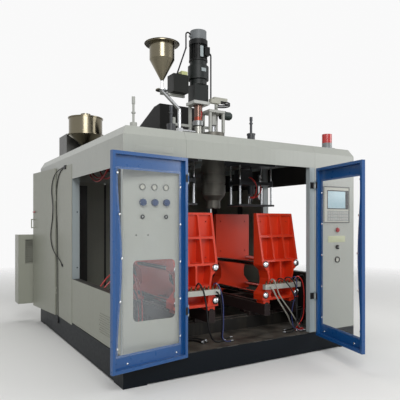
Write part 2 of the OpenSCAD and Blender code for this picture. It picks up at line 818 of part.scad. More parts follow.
module front_platen_left() { color([0.8, 0.2, 0.1]) at_station(-1) platen(); }
module front_platen_right() { color([0.8, 0.2, 0.1]) at_station(1) platen(); }

ram_seat_y = 2 * station_mid_y - rib_front_y + 5;
piston_r = 60;
barrel_y0 = yoke_y + yoke_t + gap;
barrel_len = 620;

module moving_platen() {
    translate([0, 2 * station_mid_y, 0]) mirror([0, 1, 0]) {
        platen();
        rod_y(0, rib_front_y - 5, ram_z, 62, front_face_y - rib_front_y - plate_t + 5);
    }
    // rod and piston of the clamp cylinder
    rod_y(0, ram_seat_y + gap, ram_z, ram_r, barrel_y0 + barrel_len - 70 - ram_seat_y - gap);
    rod_y(0, barrel_y0 + barrel_len - 70, ram_z, piston_r - run, 40);
}

module moving_platen_left() { color([0.8, 0.2, 0.1]) at_station(-1) moving_platen(); }
module moving_platen_right() { color([0.8, 0.2, 0.1]) at_station(1) moving_platen(); }

module tie_bars() {
    nut_r = 44;
    nut_y = rib_front_y + 4;
    for (x = [-tie_x, tie_x], z = [tie_low_z, tie_top_z]) {
        rod_y(x, rib_front_y - 10, z, tie_r, yoke_y + yoke_t + 45 - rib_front_y + 10);
        intersection() {
            translate([x, nut_y, z]) sphere(r = nut_r);
            mid_block(x, rib_front_y - 60, z - nut_r, [2 * nut_r, 50 - gap, 2 * nut_r]);
        }
        difference() {
            translate([x, yoke_y + yoke_t + gap, z]) rotate([-90, 0, 0]) cylinder(r = 42, h = 34, $fn = 6);
            rod_y(x, yoke_y + yoke_t, z, tie_r + run, 40);
        }
    }
}

module tie_bars_left() { color([0.8, 0.81, 0.83]) at_station(-1) tie_bars(); }
module tie_bars_right() { color([0.8, 0.81, 0.83]) at_station(1) tie_bars(); }

module rear_yoke() {
    h = platen_w / 2;
    top = tie_top_z + 48;
    difference() {
        union() {
            front_profile(yoke_y, yoke_t) polygon([
                [-h, platen_low], [h, platen_low], [h, tie_low_z + 30], [h - 60, tie_low_z + 120],
                [h - 60, tie_top_z - 90], [h, tie_top_z - 30], [h, top], [-h, top],
                [-h, tie_top_z - 30], [-h + 60, tie_top_z - 90], [-h + 60, tie_low_z + 120], [-h, tie_low_z + 30]]);
            for (x = [-tie_x, tie_x], z = [tie_low_z, tie_top_z]) rod_y(x, yoke_y, z, boss_r, yoke_t);
            for (x = [-slide_x, slide_x]) mid_block(x, yoke_y, frame_top + 6, [90, yoke_t, platen_low - frame_top - 5]);
        }
        for (x = [-tie_x, tie_x], z = [tie_low_z, tie_top_z])
            rod_y(x, yoke_y - cut, z, tie_r + run, yoke_t + 2 * cut);
        rod_y(0, yoke_y - cut, ram_z, ram_r + run, yoke_t + 2 * cut);
        for (x = [-slide_x, slide_x]) mid_block(x, yoke_y - cut, frame_top, [rail_w + 2 * gap, yoke_t + 2 * cut, rail_h + gap]);
        // lightening pockets in the back face
        for (s = [-1, 1]) translate([s * 120 - 35, yoke_y + 40, 700]) cube([70, yoke_t, 60]);
    }
    // barrel of the clamp cylinder
    difference() {
        union() {
            rod_y(0, barrel_y0, ram_z, 78, barrel_len);
            rod_y(0, barrel_y0, ram_z, 100, 30);
            rod_y(0, barrel_y0 + barrel_len - 30, ram_z, 90, 30);
            for (y = [60, barrel_len - 60]) rod_z(0, barrel_y0 + y, ram_z + 60, 14, 40);
        }
        rod_y(0, barrel_y0 + 20, ram_z, piston_r, barrel_len - 40);
        rod_y(0, barrel_y0 - cut, ram_z, ram_r + run, 22);
    }
}

module rear_yoke_left() { color([0.75, 0.2, 0.1]) at_station(-1) rear_yoke(); }
module rear_yoke_right() { color([0.75, 0.2, 0.1]) at_station(1) rear_yoke(); }

// Cooling water manifold with its row of fittings

module manifold() {
    z0 = 742;
    high = 56;
    deep = 50;
    y0 = rib_front_y - deep - gap;
    n = 10;
    mid_block(0, y0, z0, [platen_w - 4, deep, high]);
    for (i = [0:n - 1]) {
        x = -platen_w / 2 + 32 + i * (platen_w - 64) / (n - 1);
        rod_z(x, y0 + deep / 2, z0 + high + gap, 8, 22);
        translate([x, y0 + deep / 2, z0 + high + 6]) cylinder(r = 13, h = 9, $fn = 6);
        translate([x, y0 + deep / 2, z0 + high + 22]) rotate([35, 0, 0]) cylinder(r = 6.5, h = 26);
    }
    for (x = [-platen_w / 2 + 60, platen_w / 2 - 60]) rod_y(x, y0 - 8, z0 + high / 2, 11, 8 - gap);
}

module manifold_left() { color([0.72, 0.72, 0.7]) at_station(-1) manifold(); }
module manifold_right() { color([0.72, 0.72, 0.7]) at_station(1) manifold(); }

// Blow units

guide_x = 250;
guide_y = 100;
guide_r = 14;
blow_tie_z = 1726;
blow_plate_z = 2240;
blow_plate_t = 30;
head_z = 2000;
head_t = 40;
blow_rod = 16;
blow_bore = 40;
blow_barrel_top = 2676;
blow_rod_top = 2890;

module blow_frame() {
    hanger_w = 60;
    difference() {
        mid_block(0, blow_y - 150, blow_plate_z, [560, 300, blow_plate_t - gap]);
        rod_z(0, blow_y, blow_plate_z - cut, blow_rod + 4, blow_plate_t + 2 * cut);
    }
    for (x = [-230, 230])
        mid_block(x, well_y0 - post, blow_plate_z + blow_plate_t, [hanger_w, well_y1 - well_y0 + 2 * post, beam_z - gap - blow_plate_z - blow_plate_t]);
    for (x = [-guide_x, guide_x], y = [-guide_y, guide_y])
        rod_z(x, blow_y + y, blow_tie_z + 24, guide_r, blow_plate_z - blow_tie_z - 24 - gap);
    difference() {
        mid_block(0, blow_y - 130, blow_tie_z, [560, 260, 24 - gap]);
        mid_block(0, blow_y - 70, blow_tie_z - cut, [380, 140, 24 + 2 * cut]);
    }
    difference() {
        union() {
            rod_z(0, blow_y, blow_plate_z + blow_plate_t, 50, blow_barrel_top - blow_plate_z - blow_plate_t);
            mid_block(0, blow_y - 60, blow_plate_z + blow_plate_t, [120, 120, 24]);
            mid_block(0, blow_y - 40, blow_barrel_top - 26, [80, 80, 26]);
        }
        rod_z(0, blow_y, blow_plate_z + blow_plate_t + 20, blow_bore, blow_barrel_top - blow_plate_z - blow_plate_t - 40);
        rod_z(0, blow_y, blow_plate_z, blow_rod + run, blow_barrel_top - blow_plate_z + cut);
    }
}

module blow_frames() {
    color([0.55, 0.56, 0.58]) for (s = [-1, 1]) at_station(s) blow_frame();
}

module blow_head() {
    difference() {
        union() {
            mid_block(0, blow_y - 120, head_z, [540, 240, head_t]);
            for (x = [-guide_x, guide_x], y = [-guide_y, guide_y]) rod_z(x, blow_y + y, head_z - 20, guide_r + 9, head_t + 40);
        }
        for (x = [-guide_x, guide_x], y = [-guide_y, guide_y])
            rod_z(x, blow_y + y, head_z - 20 - cut, guide_r + run, head_t + 40 + 2 * cut);
    }
    rod_z(0, blow_y, head_z - 110, 45, 110 - gap);
    rod_z(0, blow_y, head_z - 200, 16, 90 - gap);
    translate([0, blow_y, head_z - 230]) cylinder(r1 = 6, r2 = 16, h = 30 - gap);
    rod_z(0, blow_y, head_z + head_t + gap, blow_rod, blow_rod_top - head_z - head_t - gap);
    rod_z(0, blow_y, 2600, blow_bore - run, 30);
    rod_z(0, blow_y, blow_barrel_top + blow_stroke + 4, 24, 14);
    rod_z(0, blow_y, blow_rod_top - 50, 20, 50);
    // valve box
    block(40, blow_y - 70, head_z + head_t + gap, [180, 140, 150]);
}

module blow_head_left() { color([0.15, 0.15, 0.16]) at_station(-1) blow_head(); }
module blow_head_right() { color([0.15, 0.15, 0.16]) at_station(1) blow_head(); }

// Extrusion head with its die pin

head_beam_z = beam_top + roof_t + 2 * gap;
head_beam_h = 55;
die_z = 1700;
die_r = 88;
head_low = 1850;
head_top = 2620;
head_r = 140;
pin_rod = 30;
pin_top = 2700;
servo_rod = 14;
neck_z = 2560;
neck_x = -160;
neck_r = 50;
port_r = 80;
port_len = 160;
stand_x = 95;
stand_y = 80;
stand_w = 30;
stand_h = 240;
stand_plate = 30;
stand_top = head_top + stand_h + stand_plate;

module die_head() {
    band_r = head_r + 12;
    band_h = 100;
    nose_r = 92;
    nose_h = 60;
    flange = [440, 370, 34];
    bolts = 6;
    bolt_r = 8;
    hanger_x = 180;
    servo_r = 42;
    servo_low = 20;
    servo_bore = 150;
    motor = [52, 130];
    motor_x = stand_x + stand_w / 2 + 2;
    motor_z = head_top + stand_h;
    color([0.45, 0.42, 0.38]) placed() {
        difference() {
            union() {
                rod_z(0, blow_y, head_low, head_r, head_top - head_low);
                translate([0, blow_y, head_low - nose_h]) cylinder(r1 = nose_r, r2 = head_r, h = nose_h);
                rod_z(0, blow_y, die_z, die_r, head_low - nose_h - die_z);
                for (i = [0:2]) rod_z(0, blow_y, head_low + 30 + i * (band_h + 20), band_r, band_h);
                mid_block(0, blow_y - 220, head_beam_z + head_beam_h, flange);
                rod_y(0, blow_y, barrel_z, port_r, port_len);
                rod_x(neck_x, blow_y, neck_z, neck_r, -neck_x);
                for (a = [0:bolts - 1]) translate([0, blow_y, 0]) rotate([0, 0, a * 360 / bolts + 15])
                    rod_z(die_r - 14, 0, die_z - 12, bolt_r, 20);
            }
            rod_z(0, blow_y, die_z - 2 * cut, pin_rod + run, head_top - die_z + 4 * cut);
            rod_z(0, blow_y, die_z - cut, 2 * pin_rod, 20 + cut);
        }
        for (x = [-hanger_x, hanger_x])
            mid_block(x, well_y0 - post, head_beam_z, [post, well_y1 - well_y0 + 2 * post, head_beam_h - gap]);
        // stand for the die pin's servo cylinder
        for (x = [-stand_x, stand_x], y = [-stand_y, stand_y])
            mid_block(x, blow_y + y - stand_w / 2, head_top + gap, [stand_w, stand_w, stand_h]);
        mid_block(0, blow_y + stand_y - stand_w / 2, brace_z, [2 * stand_x, stand_w, stand_w]);
        mid_block(0, blow_y - stand_y - 25, head_top + stand_h, [2 * stand_x + 50, 2 * stand_y + 50, stand_plate]);
        difference() {
            rod_z(0, blow_y, pin_top + servo_low, servo_r, head_top + stand_h + 1 - pin_top - servo_low);
            rod_z(0, blow_y, pin_top, servo_rod + run, servo_bore);
        }
        rod_x(motor_x, blow_y, motor_z, motor[0], motor[1]);
        rod_x(motor_x + motor[1] + gap, blow_y, motor_z, motor[0] - 12, 20);
    }
}

module die_pin() {
    lip_r = 48;
    lip_low = 10;
    lip_h = 14;
    servo_len = 120;
    color([0.7, 0.7, 0.72]) placed() {
        rod_z(0, blow_y, die_z, pin_rod, pin_top - die_z);
        rod_z(0, blow_y, pin_top, servo_rod, servo_len);
        translate([0, blow_y, die_z - lip_low]) cylinder(r1 = lip_r, r2 = pin_rod, h = lip_h);
    }
}

// Main extruder

barrel_r = 60;
barrel_flange = [95, 34];
feed_flange = [95, 60];
heater_r = 88;
heater_len = 260;
heater_pitch = 300;
heater_start = 70;
screw_r = 32;
screw_seat = 60;
main_len = 1475;
main_y0 = blow_y + port_len;
main_y1 = main_y0 + main_len;

module main_barrel() {
    color([0.7, 0.7, 0.69]) placed() difference() {
        union() {
            rod_y(0, main_y0 + gap, barrel_z, barrel_r, main_len - 2 * gap);
            rod_y(0, main_y0 + gap, barrel_z, barrel_flange[0], barrel_flange[1]);
            rod_y(0, main_y1 - feed_flange[1], barrel_z, feed_flange[0], feed_flange[1] - gap);
            for (i = [0:3]) rod_y(0, main_y0 + heater_start + i * heater_pitch, barrel_z, heater_r, heater_len);
        }
        rod_y(0, main_y0 + screw_seat - 20, barrel_z, screw_r + run, main_len);
    }
}

module flights(r, root, pitch, len) {
    turns = len / pitch;
    linear_extrude(len, twist = -360 * turns, slices = round(turns * 8), $fn = 10)
        translate([r - root, 0]) circle(r = root);
}

module main_screw() {
    root_r = 22;
    pitch = 90;
    flight_len = main_len - 2 * screw_seat;
    color([0.75, 0.75, 0.77]) placed() translate([0, main_y0 + screw_seat, barrel_z]) rotate([-90, 0, 0]) {
        flights(screw_r - 1, root_r, pitch, flight_len);
        rod_z(0, 0, flight_len + gap, screw_r, 2 * screw_seat);
    }
}

module main_drive() {
    gear = [360, 330, 380];
    gear_y1 = main_y1 + gear[1];
    input_bore = screw_r + 6;
    input_depth = 150;
    cover_w = 600;
    cover_y0 = main_y1 - 750;
    cover_y1 = cover_y0 + 700;
    cover_low = 2660;
    cover_rear = 290;
    cover_high = 490;
    crest = 180;
    rail = 60;
    rail_t = 20;
    rail_end = 10;
    motor_r = 115;
    motor_len = 560;
    motor_y0 = cover_y0 + 60;
    motor_z = cover_low + 190;
    shaft_r = 24;
    foot_len = 80;
    guard = [240, 120, 560];
    guard_up = 40;
    cap = [120, 160, 36];
    side = cover_w / 2;
    rail_z = cover_low - rail_t;
    color([0.08, 0.09, 0.1]) placed() {
        difference() {
            mid_block(0, main_y1, head_beam_z, gear);
            rod_y(0, main_y1 - cut, barrel_z, input_bore, input_depth);
        }
        // motor above the barrel, and its shaft to the belt
        rod_y(0, motor_y0, motor_z, motor_r, motor_len);
        rod_y(0, motor_y0 + motor_len + gap, motor_z, shaft_r, gear_y1 - motor_y0 - motor_len - gap);
        // cover over the motor
        difference() {
            side_profile(-side, cover_w) polygon([
                [cover_y0, cover_low], [cover_y1, cover_low], [cover_y1, cover_low + cover_rear],
                [cover_y0 + crest, cover_low + cover_high - 10], [cover_y0, cover_low + cover_high]]);
            side_profile(-side + sheet, cover_w - 2 * sheet) polygon([
                [cover_y0 + sheet, cover_low - cut], [cover_y1 - sheet, cover_low - cut],
                [cover_y1 - sheet, cover_low + cover_rear - sheet],
                [cover_y0 + crest, cover_low + cover_high - 10 - sheet],
                [cover_y0 + sheet, cover_low + cover_high - sheet]]);
            rod_y(0, cover_y1 - 10, motor_z, motor_r / 2, 20);
        }
        both_sides() {
            for (y = [cover_y0 + 40, cover_y1 - 100]) block(side - rail, y, head_beam_z, [rail, rail, rail_z - head_beam_z]);
            block(side - rail, cover_y0 + rail_end, rail_z, [rail, cover_y1 - cover_y0 - 2 * rail_end, rail_t - gap]);
        }
        for (y = [cover_y0 + 150, cover_y0 + 430])
            mid_block(0, y, rail_z + gap, [cover_w - 2 * rail_end, foot_len, motor_z - rail_z - motor_r + 8]);
        // belt guard behind
        difference() {
            mid_block(0, gear_y1 + gap, head_beam_z + guard_up, guard);
            mid_block(0, gear_y1 - cut, head_beam_z + guard_up + sheet,
                      [guard[0] - 2 * sheet, guard[1] - sheet + cut, guard[2] - 2 * sheet]);
        }
        mid_block(0, main_y1 + 90, head_beam_z + gear[2] + gap, cap);
    }
}

// Side extruder with its melt pipe to the head

side_in = 455;
side_x = side_in - half_w;
side_y0 = 1500;
side_len = 1370;
side_feed_y = 2600;
throat_h = 70;

module side_extruder() {
    z = barrel_z;
    tube_r = 50;
    flange = [80, 30];
    band_r = 75;
    band_len = 280;
    band_pitch = 320;
    band_start = 60;
    bore = 25;
    pipe_r = 28;
    elbow_r = 34;
    elbow_y = side_y0 - 16;
    drive = [400, 420, 420];
    drive_lid = [260, 300, 12];
    saddle = [120, 26];
    throat = [150, 120, 110];
    y1 = side_y0 + side_len;
    pipe_y = elbow_y - blow_y;
    pipe_len = sqrt(side_x * side_x + pipe_y * pipe_y) - head_r - gap;
    color([0.5, 0.51, 0.52]) placed() {
        difference() {
            union() {
                rod_y(side_x, side_y0, z, tube_r, side_len - gap);
                rod_y(side_x, side_y0, z, flange[0], flange[1]);
                for (i = [0:2]) rod_y(side_x, side_y0 + band_start + i * band_pitch, z, band_r, band_len);
            }
            rod_y(side_x, side_y0 + 40, z, bore, side_len);
        }
        // heated melt pipe from the elbow to the head
        translate([side_x, elbow_y, z]) {
            rod_z(0, 0, -elbow_r, elbow_r, 2 * elbow_r);
            rotate([0, 0, atan2(-pipe_y, -side_x)]) rod_x(0, 0, 0, pipe_r, pipe_len);
        }
        // closed drive unit
        mid_block(side_x, y1, head_beam_z, drive);
        mid_block(side_x, y1 + 40, head_beam_z + drive[2] + gap, drive_lid);
        // saddles on the roof
        for (y = [side_y0 + 24, side_y0 + 345])
            mid_block(side_x, y, head_beam_z, [saddle[0], saddle[1], z - tube_r + 1 - head_beam_z]);
        // throat under the hopper
        mid_block(side_x, side_feed_y - 70, z + throat_h - throat[2], throat);
    }
}

module hopper_rear() {
    r = 235;
    wall = 4;
    body_h = 240;
    cone_h = 140;
    stub_r = 62;
    stub_h = 30;
    ring = [22, 14];
    lid = [12, 14];
    port = [70, 60];
    low_z = barrel_z + throat_h;
    cone_z = low_z + stub_h;
    body_z = cone_z + cone_h;
    color([0.75, 0.75, 0.73]) placed() translate([side_x, side_feed_y, 0]) {
        difference() {
            union() {
                rod_z(0, 0, body_z, r, body_h);
                rod_z(0, 0, body_z, r + ring[0], ring[1]);
                translate([0, 0, cone_z]) cylinder(r1 = stub_r - 2, r2 = r - 1, h = cone_h);
                rod_z(0, 0, low_z + gap, stub_r, stub_h + 10);
            }
            rod_z(0, 0, body_z + 3, r - wall, body_h);
            translate([0, 0, cone_z + wall]) cylinder(r1 = stub_r - 2 * wall, r2 = r - wall - 1, h = cone_h);
            rod_z(0, 0, low_z - cut, stub_r - 22, stub_h + 2 * wall);
        }
        rod_z(0, 0, body_z + body_h + gap, r + lid[0], lid[1]);
        rod_z(0, 0, body_z + body_h + lid[1] + 2 * gap, port[0], port[1]);
    }
}

// Upright extruder

co_bore = 22;
co_r = 45;
co_low = 2500;
co_seat = 45;
shroud_low = 2690;
shroud_r = 50;
shroud_flange = [72, 50];
gear_z = 2942;
gear_plate = [217, 200, 36];
gear_box = [190, 160, 204];
gear_front = 90;
gear_rims = [[104, 62], [127, 160], [104, 60]];
gear_top = gear_z + gear_plate[2] + gear_box[2] + gear_rims[0][1] + gear_rims[1][1] + gear_rims[2][1];
crown_top = 3717;
crown_r = 114;
cowl_r = 100;

module co_barrel() {
    seat = [60, 8];
    bolts = 8;
    bolt_r = 5;
    flange_top = shroud_low + shroud_flange[1];
    color([0.6, 0.25, 0.15]) placed() difference() {
        union() {
            rod_z(-co_x, blow_y, co_low, co_r, shroud_low - co_low);
            rod_x(-co_x, blow_y, neck_z, neck_r - 6, co_x + neck_x - gap);
            rod_z(-co_x, blow_y, shroud_low, shroud_flange[0], shroud_flange[1]);
            rod_z(-co_x, blow_y, flange_top, shroud_r, gear_z - seat[1] - flange_top);
            rod_z(-co_x, blow_y, gear_z - seat[1], seat[0], seat[1] - gap);
            for (a = [0:bolts - 1]) translate([-co_x, blow_y, 0]) rotate([0, 0, a * 360 / bolts])
                rod_z((shroud_r + shroud_flange[0]) / 2, 0, flange_top - cut, bolt_r, 11);
        }
        rod_z(-co_x, blow_y, co_low + 30, co_bore + run, gear_z - co_low);
    }
}

module co_screw() {
    root_r = 15;
    pitch = 60;
    flight_len = gear_z - co_low - 2 * co_seat;
    color([0.75, 0.75, 0.77]) placed() translate([-co_x, blow_y, co_low + co_seat]) {
        flights(co_bore - 1, root_r, pitch, flight_len);
        rod_z(0, 0, flight_len + gap, co_bore, 2 * co_seat - 10);
    }
}

module co_gearbox() {
    bore = co_bore + 4;
    bore_depth = 60;
    box_z = gear_z + gear_plate[2];
    function rim_z(i) = i == 0 ? box_z + gear_box[2] : rim_z(i - 1) + gear_rims[i - 1][1];
    color([0.13, 0.15, 0.17]) placed() difference() {
        union() {
            mid_block(-co_x, blow_y - gear_front, gear_z, gear_plate);
            mid_block(-co_x, blow_y - gear_box[1] / 2, box_z, gear_box);
            for (i = [0:2]) rod_z(-co_x, blow_y, rim_z(i), gear_rims[i][0], gear_rims[i][1]);
        }
        rod_z(-co_x, blow_y, gear_z - cut, bore, bore_depth);
    }
}

lead_r = 9;
gland = [35, 30, 20];
gland_z = 3748;
lead_out = 14;
terminal = [70, 60, 100];
terminal_z = gear_top + 60;

module co_motor() {
    z0 = gear_top + gap;
    fins = 24;
    foot_h = 20;
    core_r = 94;
    rim_h = 57;
    fin = [20, 6];
    fin_h = crown_top - rim_h - z0 - foot_h;
    color([0.16, 0.17, 0.18]) placed() translate([-co_x, blow_y, 0]) {
        rod_z(0, 0, z0, crown_r, foot_h);
        rod_z(0, 0, z0 + foot_h, core_r, fin_h);
        for (a = [0:fins - 1]) rotate([0, 0, a * 360 / fins])
            block(core_r - 4, -fin[1] / 2, z0 + foot_h, [fin[0], fin[1], fin_h]);
        rod_z(0, 0, crown_top - rim_h, crown_r, rim_h);
        // cowl of the cooling fan, with its gland
        rod_z(0, 0, crown_top, cowl_r, motor_top - crown_top);
        block(-cowl_r - gland[0] + 10, -gland[1] / 2, gland_z, gland);
        block(20, -crown_r - 10, terminal_z, terminal);
    }
}

pipe_x = -475;
pipe_r = 20;

module hopper_top() {
    r = 145;
    wall = 4;
    body_h = 185;
    cone_h = 240;
    stem_r = 14;
    flange = [75, 12];
    flange_z = 3050 + gap;
    cone_z = flange_z + 115 - gap;
    body_z = cone_z + cone_h;
    lid_z = body_z + body_h;
    lid_t = 14;
    port = [60, 34];
    skirt = 12;
    pipe_z = 2860;
    drop_z = 2640;
    feed = [60, 60, 50];
    run_x = pipe_x + hopper_x;
    run_z = flange_z - pipe_z;
    slant = sqrt(run_x * run_x + run_z * run_z);
    over = 30;
    color([0.76, 0.72, 0.62]) placed() {
        translate([-hopper_x, blow_y, 0]) {
            difference() {
                union() {
                    rod_z(0, 0, body_z, r, body_h);
                    translate([0, 0, cone_z]) cylinder(r1 = stem_r + 2, r2 = r, h = cone_h);
                    rod_z(0, 0, flange_z + flange[1] - 2, stem_r, cone_z - flange_z);
                    rod_z(0, 0, flange_z, flange[0], flange[1]);
                }
                rod_z(0, 0, body_z, r - wall, body_h + cut);
                translate([0, 0, cone_z + wall + 2]) cylinder(r1 = stem_r - wall, r2 = r - wall, h = cone_h);
                rod_z(0, 0, flange_z - cut, stem_r - wall - 1, cone_z - flange_z + 20);
            }
            translate([0, 0, lid_z + gap]) cylinder(r1 = hopper_r, r2 = hopper_r - 30, h = lid_t);
            rod_z(0, 0, lid_z + lid_t + 2 * gap, port[0], port[1]);
            difference() {
                rod_z(0, 0, lid_z - skirt, hopper_r - 10, skirt);
                rod_z(0, 0, lid_z - skirt - cut, r + gap, skirt + 2 * cut);
            }
        }
        // slanted pipe, drop pipe and feed block
        intersection() {
            translate([-hopper_x, blow_y, flange_z]) rotate([0, 90 + atan(run_z / run_x), 0])
                translate([0, 0, -over]) cylinder(r = pipe_r, h = slant + over);
            block(-hopper_x - 100, blow_y - 100, pipe_z - 100, [1000, 200, flange_z - gap - pipe_z + 100]);
        }
        rod_z(pipe_x, blow_y, drop_z, pipe_r, pipe_z - drop_z);
        translate([pipe_x, blow_y, pipe_z]) sphere(r = pipe_r);
        mid_block(pipe_x, blow_y - feed[1] / 2, drop_z - feed[2], feed);
        rod_x(pipe_x + feed[0] / 2 - 1, blow_y, drop_z - feed[2] / 2, pipe_r,
              -pipe_x - feed[0] / 2 + 1 - co_x - co_r - gap);
    }
}

module beacon() {
    x = half_w - 345;
    y = slope_run + 67;
    z = fascia_top + slope_rise;
    low = beam_top + roof_t + 2 * gap;
    stand = [150, 130, 6];
    lens_r = 60;
    base_h = 60;
    lens_h = 108;
    lens_wall = 5;
    lamp = [20, 70];
    lens_z = z + stand[2] + base_h + 3 * gap;
    color([0.85, 0.1, 0.08]) placed() {
        mid_block(x, slope_run + 8, low, [stand[0], stand[1], z + stand[2] + gap - low]);
        rod_z(x, y, z + stand[2] + 2 * gap, lens_r, base_h);
        difference() {
            rod_z(x, y, lens_z, lens_r, lens_h);
            rod_z(x, y, lens_z - cut, lens_r - lens_wall, lens_h + cut - lens_wall);
        }
        rod_z(x, y, lens_z, lamp[0], lamp[1]);
    }
}

loader_z = 3050;
loader = [200, 160, 210];
loader_x = -585;
loader_y = 800;
brace_z = 2685;
lead_box = [135, 60, 50];
lead_box_x = gear_plate[0] / 2 - co_x + gap;
lead_box_y = 740;
lead_box_z = 2965;
bar = [197, 60, 50];
bar_z = 3045;
bar_x = 51;

module roof_fittings() {
    rail = [40, 60];
    tube_w = 30;
    column_y = blow_y + stand_y;
    column_x = 60;
    outer_x = -500;
    outer_h = 382;
    arm = [318, 30, 30];
    arm_y = 900;
    cap = [80, 100, 45];
    post_x = 465 - half_w;
    foot = [40, 240];
    rod = [13, 210];
    collar = [24, 14];
    handle = [19, 80];
    brace_len = -outer_x - stand_x - stand_w / 2 - gap + tube_w / 2;
    color([0.8, 0.8, 0.78]) placed() {
        // portal that carries the upright extruder
        mid_block(-co_x - column_x, well_y0 - post, head_beam_z, [rail[0], well_y1 - well_y0 + 2 * post, rail[1]]);
        mid_block(-co_x - column_x, column_y, head_beam_z + rail[1] + gap,
                  [tube_w, tube_w, gear_z - head_beam_z - rail[1] - 2 * gap]);
        mid_block(-co_x + column_x, column_y, brace_z, [tube_w, tube_w, gear_z - brace_z - gap]);
        block(outer_x - tube_w / 2, column_y, brace_z, [brace_len, tube_w, tube_w]);
        mid_block(outer_x, column_y, head_beam_z, [tube_w, tube_w, outer_h]);
        // arm under the hopper flange and the loader box on it
        block(-hopper_x + 4, arm_y, loader_z - arm[2], arm);
        block(loader_x, loader_y, loader_z + gap, loader);
        block(loader_x + 110, loader_y + 10, loader_z + loader[2] + 2 * gap, cap);
        // junction box beside the gearbox plate
        block(lead_box_x, lead_box_y, lead_box_z, lead_box);
        // bar on its post over the stand
        mid_block(stand_x, column_y - tube_w / 2, stand_top + gap, [tube_w, tube_w, bar_z - stand_top - 2 * gap]);
        block(bar_x, column_y - bar[1] / 2, bar_z, bar);
        // adjusting post at the left
        rod_z(post_x, blow_y, head_beam_z, foot[0], foot[1]);
        rod_z(post_x, blow_y, head_beam_z + foot[1] + gap, rod[0], rod[1]);
        rod_z(post_x, blow_y, head_beam_z + foot[1] + rod[1] / 2, collar[0], collar[1]);
        rod_z(post_x, blow_y, head_beam_z + foot[1] + rod[1] + 2 * gap, handle[0], handle[1]);
    }
}

// A bent cable or hose: a sweep about Z that starts on the X axis
module bend(radius, r, angle) {
    rotate_extrude(angle = angle, $fn = 24) translate([radius, 0]) circle(r = r, $fn = 16);
}

module cables() {
    drop_turn = 30;
    drop_x = -co_x + 20 + terminal[0] + gap;
    drop_y = lead_box_y + lead_box[1] / 2;
    drop_z = terminal_z + 36;
    lead_top = lead_box_z + lead_box[2] + gap;
    loop_y0 = lead_box_y + 26;
    loop_x0 = lead_box_x + lead_box[0] + gap;
    loop_y1 = blow_y + stand_y;
    loop_turn = (loop_y1 - loop_y0) / 2;
    loop_x1 = stand_x + stand_w / 2 + gap;
    loop_mid = 130;
    arch_turn = 30;
    arch_x = -co_x - cowl_r - gland[0] + 10 + lead_out - arch_turn;
    arch_z = gland_z + gland[2] + gap;
    fall = 160;
    lean = 20;
    fall_x = arch_x - arch_turn;
    lean_z = arch_z - fall;
    loader_top = loader_z + gap + loader[2] + gap;
    entry = [14, 18];
    leg = lean_z - loader_top - entry[1] - gap - lead_r * sin(lean);
    color([0.04, 0.04, 0.045]) placed() {
        // from the motor's terminal box down to the junction box
        translate([drop_x, drop_y, drop_z - drop_turn]) rotate([90, 0, 0]) bend(drop_turn, lead_r, 90);
        rod_z(drop_x + drop_turn, drop_y, lead_top, lead_r, drop_z - drop_turn - lead_top);
        // two loops from the junction box to the post of the bar
        for (z = [lead_box_z + 13, lead_box_z + 35]) {
            rod_x(loop_x0, loop_y0, z, lead_r, loop_mid - loop_x0);
            translate([loop_mid, loop_y0 + loop_turn, z]) rotate([0, 0, -90]) bend(loop_turn, lead_r, 180);
            rod_x(loop_x1, loop_y1, z, lead_r, loop_mid - loop_x1);
        }
        // arch from the motor's cowl to the loader box
        translate([arch_x, blow_y, arch_z]) rotate([90, 0, 0]) bend(arch_turn, lead_r, 180);
        rod_z(fall_x, blow_y, lean_z, lead_r, fall);
        translate([fall_x, blow_y, lean_z]) {
            sphere(r = lead_r + 2);
            rotate([0, 180 + lean, 0]) cylinder(r = lead_r, h = leg / cos(lean));
        }
        rod_z(fall_x - leg * tan(lean), blow_y, loader_top, entry[0], entry[1]);
    }
}

module hoses() {
    hose_r = 14;
    foot_r = 20;
    foot = 22;
    turn0 = 90;
    turn_step = 18;
    y0 = 150;
    pitch = 110;
    x = half_w - 325;
    skew = 20;
    color([0.55, 0.1, 0.1]) placed() for (s = [-1, 1], k = [0:3]) {
        radius = turn0 + turn_step * k;
        translate([s * x, y0 + pitch * k, deck_h + gap]) rotate([0, 0, s * skew]) {
            translate([0, 0, foot + gap]) rotate([90, 0, 0]) bend(radius, hose_r, 180);
            for (e = [-1, 1]) rod_z(e * radius, 0, 0, foot_r, foot);
        }
    }
}

module hydraulic_unit() {
    z = deck_h + gap;
    tank = [1000, 620, 700];
    wall = 6;
    lid = [4, 8];
    x = half_w - 1225;
    y = body_d - 780;
    motor_in = [260, 310];
    motor = [130, 300];
    cowl = [110, 120];
    block_in = [680, 140];
    valves = [300, 260, 120];
    valve = [50, 200, 90];
    pitch = 70;
    top = z + tank[2] + lid[1];
    color([0.3, 0.35, 0.38]) placed() {
        difference() {
            block(x, y, z, tank);
            block(x + wall, y + wall, z + wall, [tank[0] - 2 * wall, tank[1] - 2 * wall, tank[2]]);
        }
        block(x - lid[0], y - lid[0], z + tank[2] + gap, [tank[0] + 2 * lid[0], tank[1] + 2 * lid[0], lid[1]]);
        rod_z(x + motor_in[0], y + motor_in[1], top + 2 * gap, motor[0], motor[1]);
        rod_z(x + motor_in[0], y + motor_in[1], top + motor[1] + 3 * gap, cowl[0], cowl[1]);
        mid_block(x + block_in[0], y + block_in[1], top + 2 * gap, valves);
        for (i = [-1.5:1.5])
            mid_block(x + block_in[0] + i * pitch, y + block_in[1] + 30, top + valves[2] + 3 * gap, valve);
    }
}

